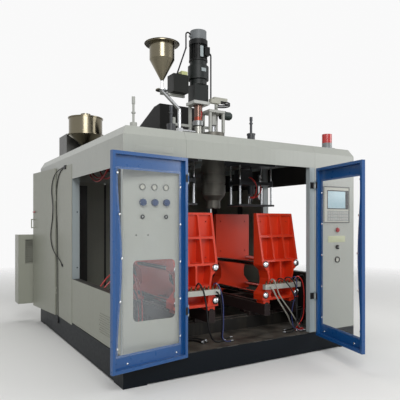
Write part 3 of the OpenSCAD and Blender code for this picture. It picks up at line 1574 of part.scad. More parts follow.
base_frame();
deck_plate();
frame_posts();
fascia();
roof_plate();
front_panel_left();
front_panel_right();
side_sills();
rear_panels();
rear_cabinet();
cabinet_door();
control_box();
control_box_latch();
door_left();
door_left_pane();
door_right();
door_right_pane();
gauges();
panel_window();
knob_1();
knob_2();
knob_3();
button_1();
button_2();
hmi_panel();
estop_button();
selector_switch();
bed();
carriage_left();
front_platen_left();
moving_platen_left();
tie_bars_left();
rear_yoke_left();
manifold_left();
carriage_right();
front_platen_right();
moving_platen_right();
tie_bars_right();
rear_yoke_right();
manifold_right();
blow_frames();
blow_head_left();
blow_head_right();
die_head();
die_pin();
main_barrel();
main_screw();
main_drive();
side_extruder();
co_motor();
co_gearbox();
co_barrel();
co_screw();
hopper_top();
hopper_rear();
beacon();
roof_fittings();
cables();
hoses();
hydraulic_unit();
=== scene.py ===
import bpy
import numpy as np
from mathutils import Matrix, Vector


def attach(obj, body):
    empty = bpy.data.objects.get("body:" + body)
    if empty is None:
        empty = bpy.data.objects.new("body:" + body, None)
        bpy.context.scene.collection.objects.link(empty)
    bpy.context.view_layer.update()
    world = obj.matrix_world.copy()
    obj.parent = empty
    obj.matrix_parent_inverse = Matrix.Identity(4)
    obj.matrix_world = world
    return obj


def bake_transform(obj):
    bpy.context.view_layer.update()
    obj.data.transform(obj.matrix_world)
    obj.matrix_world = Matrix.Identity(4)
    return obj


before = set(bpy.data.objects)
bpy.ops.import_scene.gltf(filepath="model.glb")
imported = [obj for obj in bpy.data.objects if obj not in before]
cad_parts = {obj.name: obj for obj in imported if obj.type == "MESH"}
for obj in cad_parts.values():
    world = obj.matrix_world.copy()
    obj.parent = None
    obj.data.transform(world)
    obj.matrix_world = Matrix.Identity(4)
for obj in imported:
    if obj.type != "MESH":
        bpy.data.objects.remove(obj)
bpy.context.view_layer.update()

TAU = 2 * np.pi
BOTH = (-1, 1)

# The angle in radians from which two faces meet in a sharp edge
CREASE = 0.6

# Measures of the machine in drawing millimetres, shared by several pieces
DEPTH = 3400
STATION = 585
BLOW_Y = 865
HINGE_X, HINGE_Y = 865, -30
HINGE_HEIGHTS = (662, 1953)
LEFT_SHEET = -1525.2
DECK_TOP = 239
UNDER_ROOF = 2396

# How far the doors stand open in the photograph, in degrees
LEFT_OPEN, RIGHT_OPEN, CABINET_OPEN = 170, 77, 6.5


def place(points):
    """Drawing millimetres (x from the middle, y from the front face, z from the floor) as metres of the frame."""
    return (np.asarray(points, float) - [0, DEPTH / 2, 0]) / 1000


# Camera: at the photograph's viewing angle, level, with the horizon a little below the middle
camera_data = bpy.data.cameras.new("camera")
camera_data.sensor_width = 36
camera_data.lens = 41.9
camera_data.shift_y = 0.0525
camera_data.clip_start = 0.1
camera = bpy.data.objects.new("camera", camera_data)
bpy.context.scene.collection.objects.link(camera)
camera.location = (-3.103, -5.696, 1.538)
camera.rotation_euler = Vector((0.5140, 0.8578, 0.0)).to_track_quat("-Z", "Y").to_euler()
bpy.context.scene.camera = camera


# Finishes

def shade(red, green, blue):
    """A colour read off a paint card, 0 to 255, as the linear values that a shader takes."""
    return [c / 255 / 12.92 if c <= 10 else ((c / 255 + 0.055) / 1.055) ** 2.4 for c in (red, green, blue)]


class Value:
    """A number that varies over a surface, so that a mask is written as a sum or product."""

    def __init__(self, paint, link):
        self.paint = paint
        self.link = link

    def maths(self, operation, first, second=0.0):
        return self.paint.node("ShaderNodeMath", {"operation": operation}, {0: first, 1: second})

    def __add__(self, other):
        return self.maths("ADD", self, other)

    def __radd__(self, other):
        return self.maths("ADD", other, self)

    def __sub__(self, other):
        return self.maths("SUBTRACT", self, other)

    def __rsub__(self, other):
        return self.maths("SUBTRACT", other, self)

    def __mul__(self, other):
        return self.maths("MULTIPLY", self, other)

    def __rmul__(self, other):
        return self.maths("MULTIPLY", other, self)

    def __gt__(self, other):
        return self.maths("GREATER_THAN", self, other)

    def __lt__(self, other):
        return self.maths("LESS_THAN", self, other)

    def rise(self, low, high):
        """0 below low, 1 above high and straight between."""
        return self.paint.node("ShaderNodeMapRange", {}, {0: self, 1: low, 2: high})


class Paint:
    """One material, with the few ways in which its nodes are added. It reads Object coordinates."""

    def __init__(self, name):
        self.material = bpy.data.materials.new(name)
        self.material.use_nodes = True
        self.tree = self.material.node_tree
        self.shader = self.tree.nodes["Principled BSDF"]
        self.point = self.node("ShaderNodeTexCoord", {}, {}, "Object")
        self.x, self.y, self.z = self.parts(self.point)

    def parts(self, vector):
        split = self.tree.nodes.new("ShaderNodeSeparateXYZ")
        self.tree.links.new(vector.link, split.inputs[0])
        return [Value(self, s) for s in split.outputs]

    def feed(self, socket, value):
        if isinstance(value, Value):
            self.tree.links.new(value.link, socket)
        elif socket.type == "RGBA":
            socket.default_value = [*value, 1.0]
        else:
            socket.default_value = value

    def node(self, kind, settings, inputs, output=0):
        """Adds a node: its settings first, then the values or links of its sockets."""
        made = self.tree.nodes.new(kind)
        for key, value in settings.items():
            setattr(made, key, value)
        for key, value in inputs.items():
            self.feed(made.inputs[key], value)
        return Value(self, made.outputs[output])

    def surface(self, name, value):
        self.feed(self.shader.inputs[name], value)

    def noise(self, scale, detail=3.0, stretch=None):
        where = self.node("ShaderNodeMapping", {}, {0: self.point, "Scale": stretch}) if stretch else self.point
        return self.node("ShaderNodeTexNoise", {}, {"Vector": where, "Scale": scale, "Detail": detail})

    def mix(self, factor, first, second):
        return self.node("ShaderNodeMix", {"data_type": "RGBA"}, {0: factor, 6: first, 7: second}, 2)

    def facing(self, axis):
        """How far the surface faces along an axis: 1 towards it and -1 away."""
        return self.parts(self.node("ShaderNodeNewGeometry", {}, {}, "Normal"))[axis]

    def edges(self, radius):
        """1 on sharp edges and 0 on flat ground: how far the rounded normal leans from the true one."""
        rounded = self.node("ShaderNodeBevel", {"samples": 4}, {"Radius": radius})
        true = self.node("ShaderNodeNewGeometry", {}, {}, "Normal")
        lean = self.node("ShaderNodeVectorMath", {"operation": "DOT_PRODUCT"}, {0: rounded, 1: true}, "Value")
        return (1.0 - lean).rise(0.03, 0.2)

    def within(self, box):
        """1 inside a box of drawing millimetres ((x, x), (y, y), (z, z)), where None is open."""
        mask = None
        for value, limits, shift in zip((self.x, self.y, self.z), box, (0, DEPTH / 2, 0)):
            for limit, low in zip(limits or (None, None), (True, False)):
                if limit is None:
                    continue
                edge = (limit - shift) / 1000
                side = value > edge if low else value < edge
                mask = side if mask is None else mask * side
        return mask

    def relief(self, height, strength, distance):
        sockets = {"Height": height, "Strength": strength, "Distance": distance}
        self.surface("Normal", self.node("ShaderNodeBump", {}, sockets))


# Colours that several finishes share
CREAM = shade(184, 184, 172)
PALE = shade(196, 198, 194)
DARK = shade(26, 27, 30)
BARE_METAL = shade(150, 146, 140)
GRIME = shade(92, 84, 70)
DUST = shade(150, 142, 128)

# A dial's marks to the full turn, how many of them lie on each side of the top, and its face's share of the radius
DIAL_MARKS, DIAL_END, DIAL_RIM = 40, 17, 0.78


def coat(name, colour, rough=0.4, metal=0.0, grain=(600, 0.06, 0.0006), tone=0.06, wear=0.0, dust=0.15,
         brushed=None, regions=(), clear=0.0, streaks=0.0, dials=(), gloss=0.5):
    """A finish: the colour drifts slowly, takes streaks from top to bottom and dust on what faces up, and is rubbed to
    metal along edges. grain is the size, strength and depth of its relief. regions are boxes with a finish of their
    own. dials lists round faces (x, z, radius) with a needle that points up and radial marks, but none at the foot."""
    p = Paint(name)
    slow = p.noise(1.7, 5.0)
    base = p.mix(slow, [c * (1 - tone) for c in colour], [min(1, c * (1 + tone)) for c in colour])
    metallic, roughness = metal, rough
    for box, other, other_metal, other_rough in regions:
        mask = p.within(box)
        base = p.mix(mask, base, p.mix(p.noise(9, 4.0), other, [c * 0.86 for c in other]))
        metallic = metallic + (other_metal - metallic) * mask
        roughness = roughness + (other_rough - roughness) * mask
    for x, z, radius in dials:
        across, up = p.x - x / 1000, p.z - z / 1000
        out = p.node("ShaderNodeMath", {"operation": "SQRT"}, {0: across * across + up * up}) * (1000 / radius)
        turn = p.node("ShaderNodeMath", {"operation": "ARCTAN2"}, {0: across, 1: up}) * (DIAL_MARKS / TAU)
        mark = p.node("ShaderNodeMath", {"operation": "PINGPONG"}, {0: turn, 1: 0.5}) < 0.16
        face = (out < DIAL_RIM) * p.within((None, (None, -8.5), None))
        base = p.mix(face, base, CREAM)
        base = p.mix(mark * face * (out > 0.5) * (turn > -DIAL_END) * (turn < DIAL_END), base, DARK)
        base = p.mix(p.within(((x - 1, x + 1), (None, -9.3), (z, z + radius * 0.8))), base, DARK)
        metallic = metallic - face * metallic
    if streaks:
        runs = p.noise(1.0, 4.0, (26, 26, 1.3)).rise(0.5, 0.8)
        base = p.mix(runs * streaks, base, GRIME)
    if wear:
        rubbed = p.edges(0.006) * p.noise(11, 6.0).rise(0.44, 0.56) * wear
        base = p.mix(rubbed, base, BARE_METAL)
        roughness = roughness + rubbed * 0.1
    if dust:
        settled = p.facing(2).rise(0.5, 0.95) * p.noise(7, 5.0).rise(0.3, 0.75) * dust
        base = p.mix(settled, base, DUST)
        roughness = roughness + settled * 0.3
    p.surface("Base Color", base)
    p.surface("Metallic", metallic)
    p.surface("Roughness", roughness + (p.noise(23, 4.0) - 0.5) * 0.16)
    p.shader.inputs["Specular IOR Level"].default_value = gloss
    if clear:
        p.shader.inputs["Coat Weight"].default_value = clear
        p.shader.inputs["Coat Roughness"].default_value = 0.12
    size, strength, depth = grain
    p.relief(p.noise(size, 2.0, brushed), strength, depth)
    return p.material


def pane(name, tint):
    """A clear plastic sheet: mostly let through, with gloss that grows at a slant and faint wiping marks."""
    p = Paint(name)
    p.surface("Base Color", tint)
    p.surface("Roughness", 0.06 + p.noise(5, 6.0, (1, 1, 3)).rise(0.45, 0.75) * 0.12)
    p.shader.inputs["Specular IOR Level"].default_value = 0.3
    p.surface("Alpha", 0.035 + p.noise(2.2, 5.0).rise(0.35, 0.75) * 0.05)
    return p.material


# Boxes of drawing millimetres in which one solid has another finish: colour, metal and roughness
screen_parts = [
    ((None, (-10.5, -8.5), None), shade(96, 98, 96), 0.0, 0.4),
    (((1010, 1426), (-8, -6), (1527, 1941)), shade(190, 190, 178), 0.0, 0.4),
    (((1058, 1424), (-8, -6), (1680, 1909)), DARK, 0.0, 0.45),
    (((1071, 1371), (-6, 0), (1692, 1897)), shade(176, 206, 216), 0.0, 0.12),
    (((1390, 1416), (None, -8.5), (1700, 1890)), shade(70, 72, 74), 0.0, 0.45),
    (((1060, 1426), (-8, -6), (1538, 1662)), shade(150, 154, 152), 0.0, 0.45),
    (((1074, 1413), (None, -8.5), (1546, 1654)), shade(172, 174, 168), 0.0, 0.4),
]
rods = [(((s * STATION + x - 15, s * STATION + x + 15), (BLOW_Y + y - 15, BLOW_Y + y + 15), (1752, 2238)),
         shade(214, 217, 220), 1.0, 0.14) for s in BOTH for x in (-250, 250) for y in (-100, 100)]
valve_boxes = [((tuple(sorted((s * 365, s * 545))), (794, 936), (2040.2, 2192)), DARK, 0.0, 0.45) for s in BOTH]
fitting_parts = [
    (((-586, -384), (799, 961), (3050, 3260.4)), shade(13, 16, 12), 0.0, 0.4),
    (((-477, -393), (809, 911), (3260.4, 3310)), shade(190, 194, 140), 0.0, 0.4),
    (((-107, 30), (739, 801), (2964, 3016)), CREAM, 0.0, 0.45),
    (((50, 249), (914, 976), (3044, 3096)), CREAM, 0.0, 0.45),
]
red_band = (((-208, None), None, (2752, 2866)), shade(168, 34, 24), 0.0, 0.4)
# Painted shade: the inner faces of the sheets inside the enclosure are a near-black grey that stands in for the shade
# inside the machine
inside = (((-1523, 1523), (60, 3396), (None, 2335)), shade(32, 33, 31), 0.0, 0.6)
button_centres = [(((x - 7, x + 7), None, (z - 7, z + 7)), shade(170, 172, 170), 0.6, 0.3)
                  for x, z in ((-1336, 1578), (-1092, 1578), (1231, 1222))]
gauges = [(-1336, 1856, 30), (-1214, 1856, 30), (-1092, 1856, 30), (1231, 1070, 31)]

# The panels' and side sheets' inner faces take the painted shade of the inside region
GREY = coat("panel_grey", shade(160, 163, 156), 0.42, wear=0.25, streaks=0.06, clear=0.2, regions=[inside])
SIDE_GREY = coat("side_grey", shade(146, 148, 136), 0.45, wear=0.25, streaks=0.1, clear=0.1, regions=[inside])
FITTINGS = coat("roof_fittings_grey", shade(178, 180, 174), 0.45, wear=0.25, gloss=0.25, regions=fitting_parts)
ROOF = coat("roof_grey", shade(150, 152, 146), 0.5, dust=0.5, wear=0.2)
POST = coat("post_grey", shade(152, 162, 164), 0.42, wear=0.3, streaks=0.1)
BLUE = coat("door_blue", shade(14, 74, 132), 0.3, wear=0.25, clear=0.3, dust=0.1, tone=0.14)
NAVY = coat("base_navy", shade(6, 13, 20), 0.45, wear=0.2, dust=0.1, gloss=0.16)
RED = coat("platen_red", shade(206, 50, 16), 0.38, wear=0.3, clear=0.15, grain=(260, 0.12, 0.0012), dust=0.06,
           tone=0.1)
FRAME = coat("frame_dark", shade(38, 28, 27), 0.45, wear=0.4, dust=0.2, gloss=0.3)
DECK = coat("deck_black", shade(26, 25, 23), 0.5, wear=0.5, dust=0.3, gloss=0.3, grain=(90, 0.25, 0.002),
            streaks=0.2)
IRON = coat("cast_dark", shade(12, 13, 12), 0.5, wear=0.2, dust=0.08, gloss=0.15, grain=(170, 0.35, 0.0015))
MOTOR = coat("motor_black", shade(12, 14, 14), 0.45, wear=0.15, dust=0.1, gloss=0.2, grain=(200, 0.25, 0.0012),
             regions=[((None, None, (3718, None)), shade(120, 124, 126), 0.0, 0.4)])
GEARBOX = coat("gearbox_dark", shade(28, 32, 31), 0.45, wear=0.3, dust=0.15, gloss=0.25, grain=(180, 0.3, 0.0014),
               regions=[((None, None, (None, 2978.2)), PALE, 0.0, 0.4)])
SHROUD = coat("shroud_copper", shade(98, 78, 70), 0.26, 0.9, wear=0.3, regions=[
    red_band,
    ((None, None, (2752, 2796)), shade(128, 62, 48), 0.8, 0.3),
    ((None, None, (None, 2689)), shade(150, 150, 144), 1.0, 0.35),
    ((None, None, (2689, 2752)), shade(120, 122, 122), 1.0, 0.35)])
HEAD = coat("head_steel", shade(92, 90, 84), 0.45, 0.8, grain=(80, 0.2, 0.0006), brushed=(1, 1, 10), dust=0.25,
            regions=[(((108, 270), None, (2800, 2925)), shade(30, 44, 40), 0.0, 0.45),
                     (((-200, 107), None, (2622, 2900)), shade(176, 178, 172), 0.0, 0.45)])
STEEL = coat("machined_steel", shade(150, 152, 154), 0.32, 1.0, grain=(60, 0.15, 0.0004), brushed=(1, 1, 14), dust=0.1)
BARREL = coat("heater_steel", shade(88, 88, 86), 0.42, 0.9, grain=(80, 0.2, 0.0006), brushed=(1, 1, 10), dust=0.2)
PALE_BLOCK = coat("manifold_grey", shade(186, 186, 178), 0.38, 0.3, wear=0.3, dust=0.1, regions=[
    ((None, None, (798.2, None)), shade(132, 122, 96), 1.0, 0.3)])
PLATE = coat("bare_plate", shade(178, 182, 152), 0.4, grain=(300, 0.05, 0.0003), dust=0.05)
CHROME = coat("hard_chrome", shade(214, 217, 220), 0.12, 1.0, tone=0.02, grain=(40, 0.03, 0.0003), dust=0.05)
GUIDE = coat("blow_frame_dark", shade(46, 48, 52), 0.45, wear=0.35, dust=0.2, regions=rods)
BLOW_HEAD = coat("blow_head_dark", shade(58, 60, 64), 0.4, 0.6, wear=0.35, dust=0.2, regions=valve_boxes)
DIAL = coat("gauge_faces", shade(92, 94, 92), 0.3, 0.5, dials=gauges, clear=0.3, grain=(500, 0.03, 0.0002), dust=0.05,
            regions=[(((1180, 1285), None, (1020, 1120)), shade(12, 12, 13), 0.0, 0.35)])
BUTTON = coat("button_black", shade(14, 14, 15), 0.35, gloss=0.3, dust=0.05, grain=(900, 0.15, 0.0003),
              regions=button_centres)
HMI = coat("screen_unit", CREAM, 0.42, regions=screen_parts, wear=0.2)
STAINLESS = coat("stainless", shade(114, 108, 92), 0.22, 1.0, grain=(50, 0.12, 0.0005), brushed=(1, 1, 9), dust=0.1,
                 regions=[(((-760, -60), (700, 1000), (None, 3166)), shade(190, 192, 194), 1.0, 0.25)])
BLACK = coat("black_plastic", shade(22, 22, 24), 0.45, gloss=0.3, dust=0.12, grain=(900, 0.2, 0.0004))
RUBBER = coat("hose_rubber", shade(15, 15, 17), 0.5, gloss=0.3, dust=0.2, grain=(700, 0.3, 0.0006))
RED_HOSE = coat("hose_red", shade(196, 30, 22), 0.35, dust=0.05, clear=0.3, grain=(700, 0.2, 0.0003))
# Painted shade: a darkened copy of the red hose, for the loops that hang in the shade inside the enclosure
RED_HOSE_PAINTED_SHADE = coat("hose_red_painted_shade", shade(124, 20, 20), 0.45, dust=0.2, gloss=0.3, grain=(700, 0.2, 0.0003))
BLUE_HOSE = coat("hose_blue", shade(34, 44, 96), 0.35, dust=0.05, clear=0.3, grain=(700, 0.2, 0.0003))
GREY_HOSE = coat("hose_grey", shade(150, 148, 138), 0.4, dust=0.1, clear=0.2, grain=(700, 0.2, 0.0003))
KNOB_BLUE = coat("knob_blue", shade(6, 44, 88), 0.38, gloss=0.3, grain=(900, 0.15, 0.0003), dust=0.05)
SIGNAL_RED = coat("signal_red", shade(150, 14, 22), 0.3, clear=0.2, dust=0.05)
LAMP_RED = coat("beacon_red", shade(178, 26, 20), 0.2, clear=0.6, dust=0.05, regions=[
    ((None, None, (None, 2493)), shade(120, 124, 124), 0.0, 0.4)])
CLEAR = pane("clear_sheet", shade(226, 232, 236))

dress = {
    GREY: ["fascia", "front_panel_left", "front_panel_right"],
    SIDE_GREY: ["side_sills", "rear_panels", "rear_cabinet", "cabinet_door", "control_box"],
    FITTINGS: ["roof_fittings"],
    ROOF: ["roof_plate"],
    POST: ["frame_posts"],
    BLUE: ["door_left", "door_right"],
    NAVY: ["base_frame"],
    DECK: ["deck_plate", "bed"],
    RED: ["front_platen_left", "front_platen_right", "moving_platen_left", "moving_platen_right"],
    FRAME: ["carriage_left", "carriage_right", "rear_yoke_left", "rear_yoke_right"],
    CHROME: ["tie_bars_left", "tie_bars_right"],
    GUIDE: ["blow_frames"],
    BLOW_HEAD: ["blow_head_left", "blow_head_right"],
    DIAL: ["gauges"],
    HEAD: ["die_head"],
    BARREL: ["main_barrel", "side_extruder"],
    STEEL: ["die_pin", "main_screw", "co_screw"],
    BUTTON: ["button_1", "button_2", "selector_switch"],
    PALE_BLOCK: ["manifold_left", "manifold_right"],
    IRON: ["main_drive", "hydraulic_unit"],
    MOTOR: ["co_motor"],
    GEARBOX: ["co_gearbox"],
    SHROUD: ["co_barrel"],
    STAINLESS: ["hopper_top", "hopper_rear"],
    BLACK: ["control_box_latch"],
    HMI: ["hmi_panel"],
    KNOB_BLUE: ["knob_1", "knob_2", "knob_3"],
    SIGNAL_RED: ["estop_button"],
    LAMP_RED: ["beacon"],
    RUBBER: ["cables", "hoses"],
    CLEAR: ["door_left_pane", "door_right_pane", "panel_window"],
}
for material, names in dress.items():
    for name in names:
        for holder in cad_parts[name].material_slots:
            holder.material = material


# Shapes: a grid of rows that run round a closed section, with a pole at each end

def skin(rows):
    """Points and faces over a grid of rows (row, column, axis): neighbouring rows are joined by four-sided faces, and
    each end row by a fan to its mean point."""
    rows = np.asarray(rows, float)
    count, around, _ = rows.shape
    points = np.concatenate([rows.reshape(-1, 3), rows[:1].mean(1), rows[-1:].mean(1)])
    here = np.arange(count * around).reshape(count, around)
    after = np.roll(here, -1, axis=1)
    sides = np.stack([here[:-1], after[:-1], after[1:], here[1:]], -1).reshape(-1, 4)
    low = np.stack([np.full(around, count * around), after[0], here[0]], -1)
    high = np.stack([np.full(around, count * around + 1), here[-1], after[-1]], -1)
    return points, sides, np.concatenate([low, high])


def turned(profile, base, axis, around=24):
    """A profile of (radius, distance along the axis) turned about an axis through base."""
    axis = np.asarray(axis, float) / np.linalg.norm(axis)
    across = np.cross(axis, [0.31, 0.86, 0.41])
    across /= np.linalg.norm(across)
    angle = np.linspace(0, TAU, around, endpoint=False)[None, :, None]
    radius, along = np.asarray(profile, float).T[:, :, None, None]
    return skin(base + along * axis + radius * (np.cos(angle) * across + np.sin(angle) * np.cross(axis, across)))


def slab(low, high, corner, edge, axis=1):
    """A plate between two corners with rounded corners seen along axis and rounded edges: the outline is a rounded
    rectangle, drawn in by edge times one less the sine of a quarter turn while it rises by one less the cosine."""
    low, high = np.minimum(low, high).astype(float), np.maximum(low, high).astype(float)
    first, second = [i for i in range(3) if i != axis]
    half = (high - low)[[first, second]] / 2
    corner = min(corner, half.min() * 0.98)
    edge = min(edge, corner * 0.9, (high - low)[axis] * 0.45)
    angle = np.linspace(0, TAU, 24, endpoint=False) + TAU / 48
    unit = np.stack([np.cos(angle), np.sin(angle)], -1)
    quarter = np.linspace(0, TAU / 4, 4)
    inset = edge * (1 - np.sin(quarter))
    rise = edge * (1 - np.cos(quarter))
    inset = np.concatenate([inset, inset[::-1]])
    along = np.concatenate([low[axis] + rise, high[axis] - rise[::-1]])
    flat = np.sign(unit)[None] * (half - corner) + unit[None] * (corner - inset)[:, None, None]
    rows = np.zeros((len(along), 24, 3))
    rows[:, :, [first, second]] = flat + ((low + high) / 2)[[first, second]]
    rows[:, :, axis] = along[:, None]
    return skin(rows)


def curve(points, count):
    """A smooth line through the points: each stretch is a cubic whose slopes are half the step between neighbours."""
    p = np.asarray(points, float)
    p = np.concatenate([2 * p[:1] - p[1:2], p, 2 * p[-1:] - p[-2:-1]])
    where = np.linspace(0, len(p) - 3, count)
    k = np.minimum(where.astype(int), len(p) - 4)
    t = (where - k)[:, None]
    a, b, c, d = p[k], p[k + 1], p[k + 2], p[k + 3]
    return 0.5 * (2 * b + (c - a) * t + (2 * a - 5 * b + 4 * c - d) * t**2 + (3 * b - a - 3 * c + d) * t**3)


def tube(line, radius):
    """A round section carried along a line, turned from point to point by no more than the line itself turns."""
    ahead = np.gradient(line, axis=0)
    ahead /= np.linalg.norm(ahead, axis=1, keepdims=True)
    side = np.cross(ahead[0], [0.3, 0.5, 0.81])
    frames = []
    for direction in ahead:
        side = side - direction * (side @ direction)
        side = side / np.linalg.norm(side)
        frames.append((side, np.cross(direction, side)))
    frames = np.array(frames)
    angle = np.linspace(0, TAU, 10, endpoint=False)[None, :, None]
    return skin(line[:, None] + radius * (np.cos(angle) * frames[:, :1] + np.sin(angle) * frames[:, 1:]))


def piece(name, shapes, material, body, move=None):
    """One object of several closed shapes in drawing millimetres, each turned outward by the sign of its volume. A
    piece that runs between two bodies names none here and is left unattached."""
    points, faces, start = [], [], 0
    for spots, *groups in shapes:
        spots = place(move(spots) if move else spots)
        volume = sum(np.einsum("ij,ij->", spots[g[:, 0]], np.cross(spots[g[:, i]], spots[g[:, i + 1]]))
                     for g in groups for i in range(1, g.shape[1] - 1))
        for g in groups:
            faces += ((g if volume > 0 else g[:, ::-1]) + start).tolist()
        points.append(spots)
        start += len(spots)
    mesh = bpy.data.meshes.new(name)
    mesh.from_pydata(np.concatenate(points).tolist(), [], faces)
    mesh.shade_smooth()
    mesh.set_sharp_from_angle(angle=CREASE)
    mesh.materials.append(material)
    made = bpy.data.objects.new(name, mesh)
    bpy.context.scene.collection.objects.link(made)
    if body:
        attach(made, body)
    return made


def dome(radius, high):
    """The profile of a low domed head."""
    return [(radius * r, high * h) for r, h in ((1, 0), (1, 0.4), (0.85, 0.75), (0.5, 0.95), (0.1, 1))]


def cord(name, points, radius, material, body):
    """A cable or hose along a smooth line through the points."""
    line = curve(points, 60)
    made = piece(name, [tube(line, radius)], material, body)
    2 * radius / 1000
    return made


# Cables on the left side: from one outlet under the fascia down the rear panel

outlet = [slab((-1545, 1930, 2196), (LEFT_SHEET, 1990, 2246), 6, 3, 0)]
outlet += [turned([(9, 0), (9, 16), (7, 18)], (-1534, 1985, z), (0, 1, 0)) for z in (2210, 2230)]
piece("side_outlet", outlet, BLACK, "enclosure")
socket = [slab((-1532, 2066, 940), (LEFT_SHEET, 2106, 984), 5, 2, 0),
          turned([(11, 0), (11, 26), (9, 36), (8.5, 40)], (-1534, 2092, 958), (0, 0.83, 0.56))]
side_plug = piece("side_plug", socket, BLACK, "enclosure")
rear_cable = cord("side_cable_rear", [
    (-1534, 2003, 2230), (-1537, 2100, 2222), (-1546, 2250, 2204), (-1560, 2395, 2152), (-1568, 2490, 2051),
    (-1570, 2512, 1936), (-1567, 2480, 1815), (-1566, 2458, 1716), (-1567, 2487, 1561), (-1573, 2540, 1404),
    (-1573, 2542, 1286), (-1567, 2475, 1171), (-1556, 2355, 1091), (-1542, 2230, 1040), (-1534, 2125, 981)],
    6, RUBBER, None)
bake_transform(rear_cable)
cord("side_cable_front", [
    (-1534, 2003, 2210), (-1535, 2080, 2206), (-1535, 2200, 2176), (-1535, 2310, 2098), (-1534, 2378, 1965),
    (-1533, 2402, 1812), (-1533, 2410, 1716), (-1533, 2366, 1561), (-1533, 2342, 1369), (-1533, 2335, 1226),
    (-1533, 2329, 1083), (-1533, 2324, 816), (-1533, 2319, 549), (-1533, 2314, 340), (-1534, 2312, 228)],
    6, RUBBER, "enclosure")
piece("side_entry", [slab((-1545, 2294, 176), (LEFT_SHEET, 2330, 214), 5, 3, 0),
                     turned([(9, 0), (9, 12), (7.5, 14)], (-1534, 2312, 213), (0, 0, 1))],
      BLACK, "enclosure")
piece("jamb_screws", [turned(dome(8, 3), (-1461, 1671.8, z), (0, -1, 0)) for z in (967, 1648)]
      + [turned(dome(6, 3), (-1525, 1720, 1366), (-1, 0, 0))], BLACK, "enclosure")


# Doors: dark hinge leaves and the chrome bolts that hold the panes

def on_left_door(points):
    """Along the door from its hinge, through it and up, as drawing millimetres on the open left door."""
    turn = np.radians(-LEFT_OPEN)
    u, v, z = points.T
    x, y = u * np.cos(turn) - v * np.sin(turn), u * np.sin(turn) + v * np.cos(turn)
    return np.stack([x - HINGE_X, y + HINGE_Y, z], -1)


def on_right_door(points):
    """The same on the right door, which is the mirror image."""
    turn = np.radians(RIGHT_OPEN)
    u, v, z = points.T
    x, y = u * np.cos(turn) + v * np.sin(turn), v * np.cos(turn) - u * np.sin(turn)
    return np.stack([HINGE_X - x, y + HINGE_Y, z], -1)


# The free side's bolts follow the frame's inner edge, which waves in by 46 mm once over the pane's height
heights = np.array([1960, 1597, 1209, 830, 420])
free_side = 786 - 23 * (1 - np.cos(TAU * (heights - 360) / 1635))
pane_bolts = [turned(dome(11, 7), (u, -11.6, z), (0, 1, 0)) for u, z in zip(free_side, heights)]
pane_bolts += [turned(dome(11, 7), (86, -11.6, z), (0, 1, 0)) for z in (1863, 1504, 1145, 786, 427)]
pane_bolts += [turned(dome(10, 8), (u, -16.8, 275), (0, 1, 0)) for u in (130, 680)]
leaves = [slab((16, 20.1, z - 37), (43, 22.6, z + 37), 3, 1) for z in HINGE_HEIGHTS]
leaves += [turned(dome(5, 2), (34, 22.5, z + d), (0, 1, 0)) for z in HINGE_HEIGHTS for d in (-25, 0, 25)]
for side, move in (("left", on_left_door), ("right", on_right_door)):
    piece(side + "_pane_bolts", pane_bolts, CHROME, side + "_door", move)
    piece(side + "_hinge_leaves", leaves, BLACK, side + "_door", move)
post_leaves = [slab((792, 0.4, z - 37), (852, 3.1, z + 37), 4, 1) for z in HINGE_HEIGHTS]
post_leaves += [turned(dome(5, 2), (x, 0.5, z + d), (0, -1, 0))
                for z in HINGE_HEIGHTS for x in (806, 828) for d in (-24, 24)]
piece("post_hinge_leaves", post_leaves, BLACK, "enclosure")


# Small things on the panels, the fascia, the drive and the cabinet's door

piece("panel_screws", [turned(dome(7, 3), (x, -0.1, z), (0, -1, 0)) for x, z in ((-1397, 1407), (-1276, 1407))],
      BLACK, "enclosure")
plates = [slab((1079, -1.4, 1280), (1371, -0.1, 1358), 5, 0.6)]
plates += [turned(dome(4, 1.5), (x, -1.3, z), (0, -1, 0)) for x in (1088, 1362) for z in (1289, 1349)]
piece("bare_plate", plates, PLATE, "enclosure")
hatch = [slab((-1418, -1.6, 2184), (-1010, -0.1, 2248), 4, 0.7)]
hatch += [turned(dome(5, 2), (x, -1.5, z), (0, -1, 0)) for x in (-1404, -1024) for z in (2196, 2236)]
piece("fascia_hatch", hatch, GREY, "enclosure")
drive_plates = [slab((-246, 734.6, 3322), (-184, 737.8, 3364), 4, 0.8)]
drive_plates += [slab((-256, 745, 3496), (-214, 750.8, 3628), 5, 2)]
piece("drive_plates", drive_plates, POST, "enclosure")


def on_cabinet_door(points):
    """Out from the ajar cabinet door, along it from its hinge and up, as drawing millimetres."""
    turn = np.radians(CABINET_OPEN)
    out, along, z = points.T
    x, y = along * np.sin(turn) + out * np.cos(turn), along * np.cos(turn) - out * np.sin(turn)
    return np.stack([-1540 - x, 2405 + y, z], -1)


lever = [turned([(12, 0), (12, 14), (10, 16)], (10, 862, 1672), (1, 0, 0)),
         slab((22, 778, 1664), (32, 874, 1680), 7, 3, 0)]
piece("cabinet_lever", lever, SIGNAL_RED, "rear_door", on_cabinet_door)


# Air fittings and hoses of the right blow unit

bowl = [(16, 0), (24, 4), (24, 46), (19, 56), (19, 62), (26, 66), (26, 92), (12, 100)]
piece("blow_filter", [
    turned(bowl, (672, 792, 2040.5), (0, 0, 1)),
    turned([(13, 0), (13, 178), (8, 186)], (690, 840, 1999.5), (0, 0, -1)),
    turned([(8, 0), (8, 16), (6.5, 18)], (487, 794.5, 2092), (0, -1, 0))],
    CHROME, "right_blow")
bracket = [slab((454, 744, 1750.3), (486, 752, 1858), 5, 1.5), slab((450, 724, 1822), (490, 744, 1850), 5, 3)]
piece("blow_bracket", bracket, CHROME, "enclosure")
curl = [(487, 774, 2092), (494, 745, 2084), (520, 722, 2052), (552, 716, 2000), (560, 714, 1946), (548, 712, 1896),
        (518, 706, 1856), (494, 704, 1838), (470, 705, 1836), (466, 716, 1836)]
sweep = [(484, 724, 1830), (500, 712, 1828), (540, 706, 1840), (590, 712, 1872), (634, 724, 1920), (656, 744, 1960),
         (660, 770, 1996)]
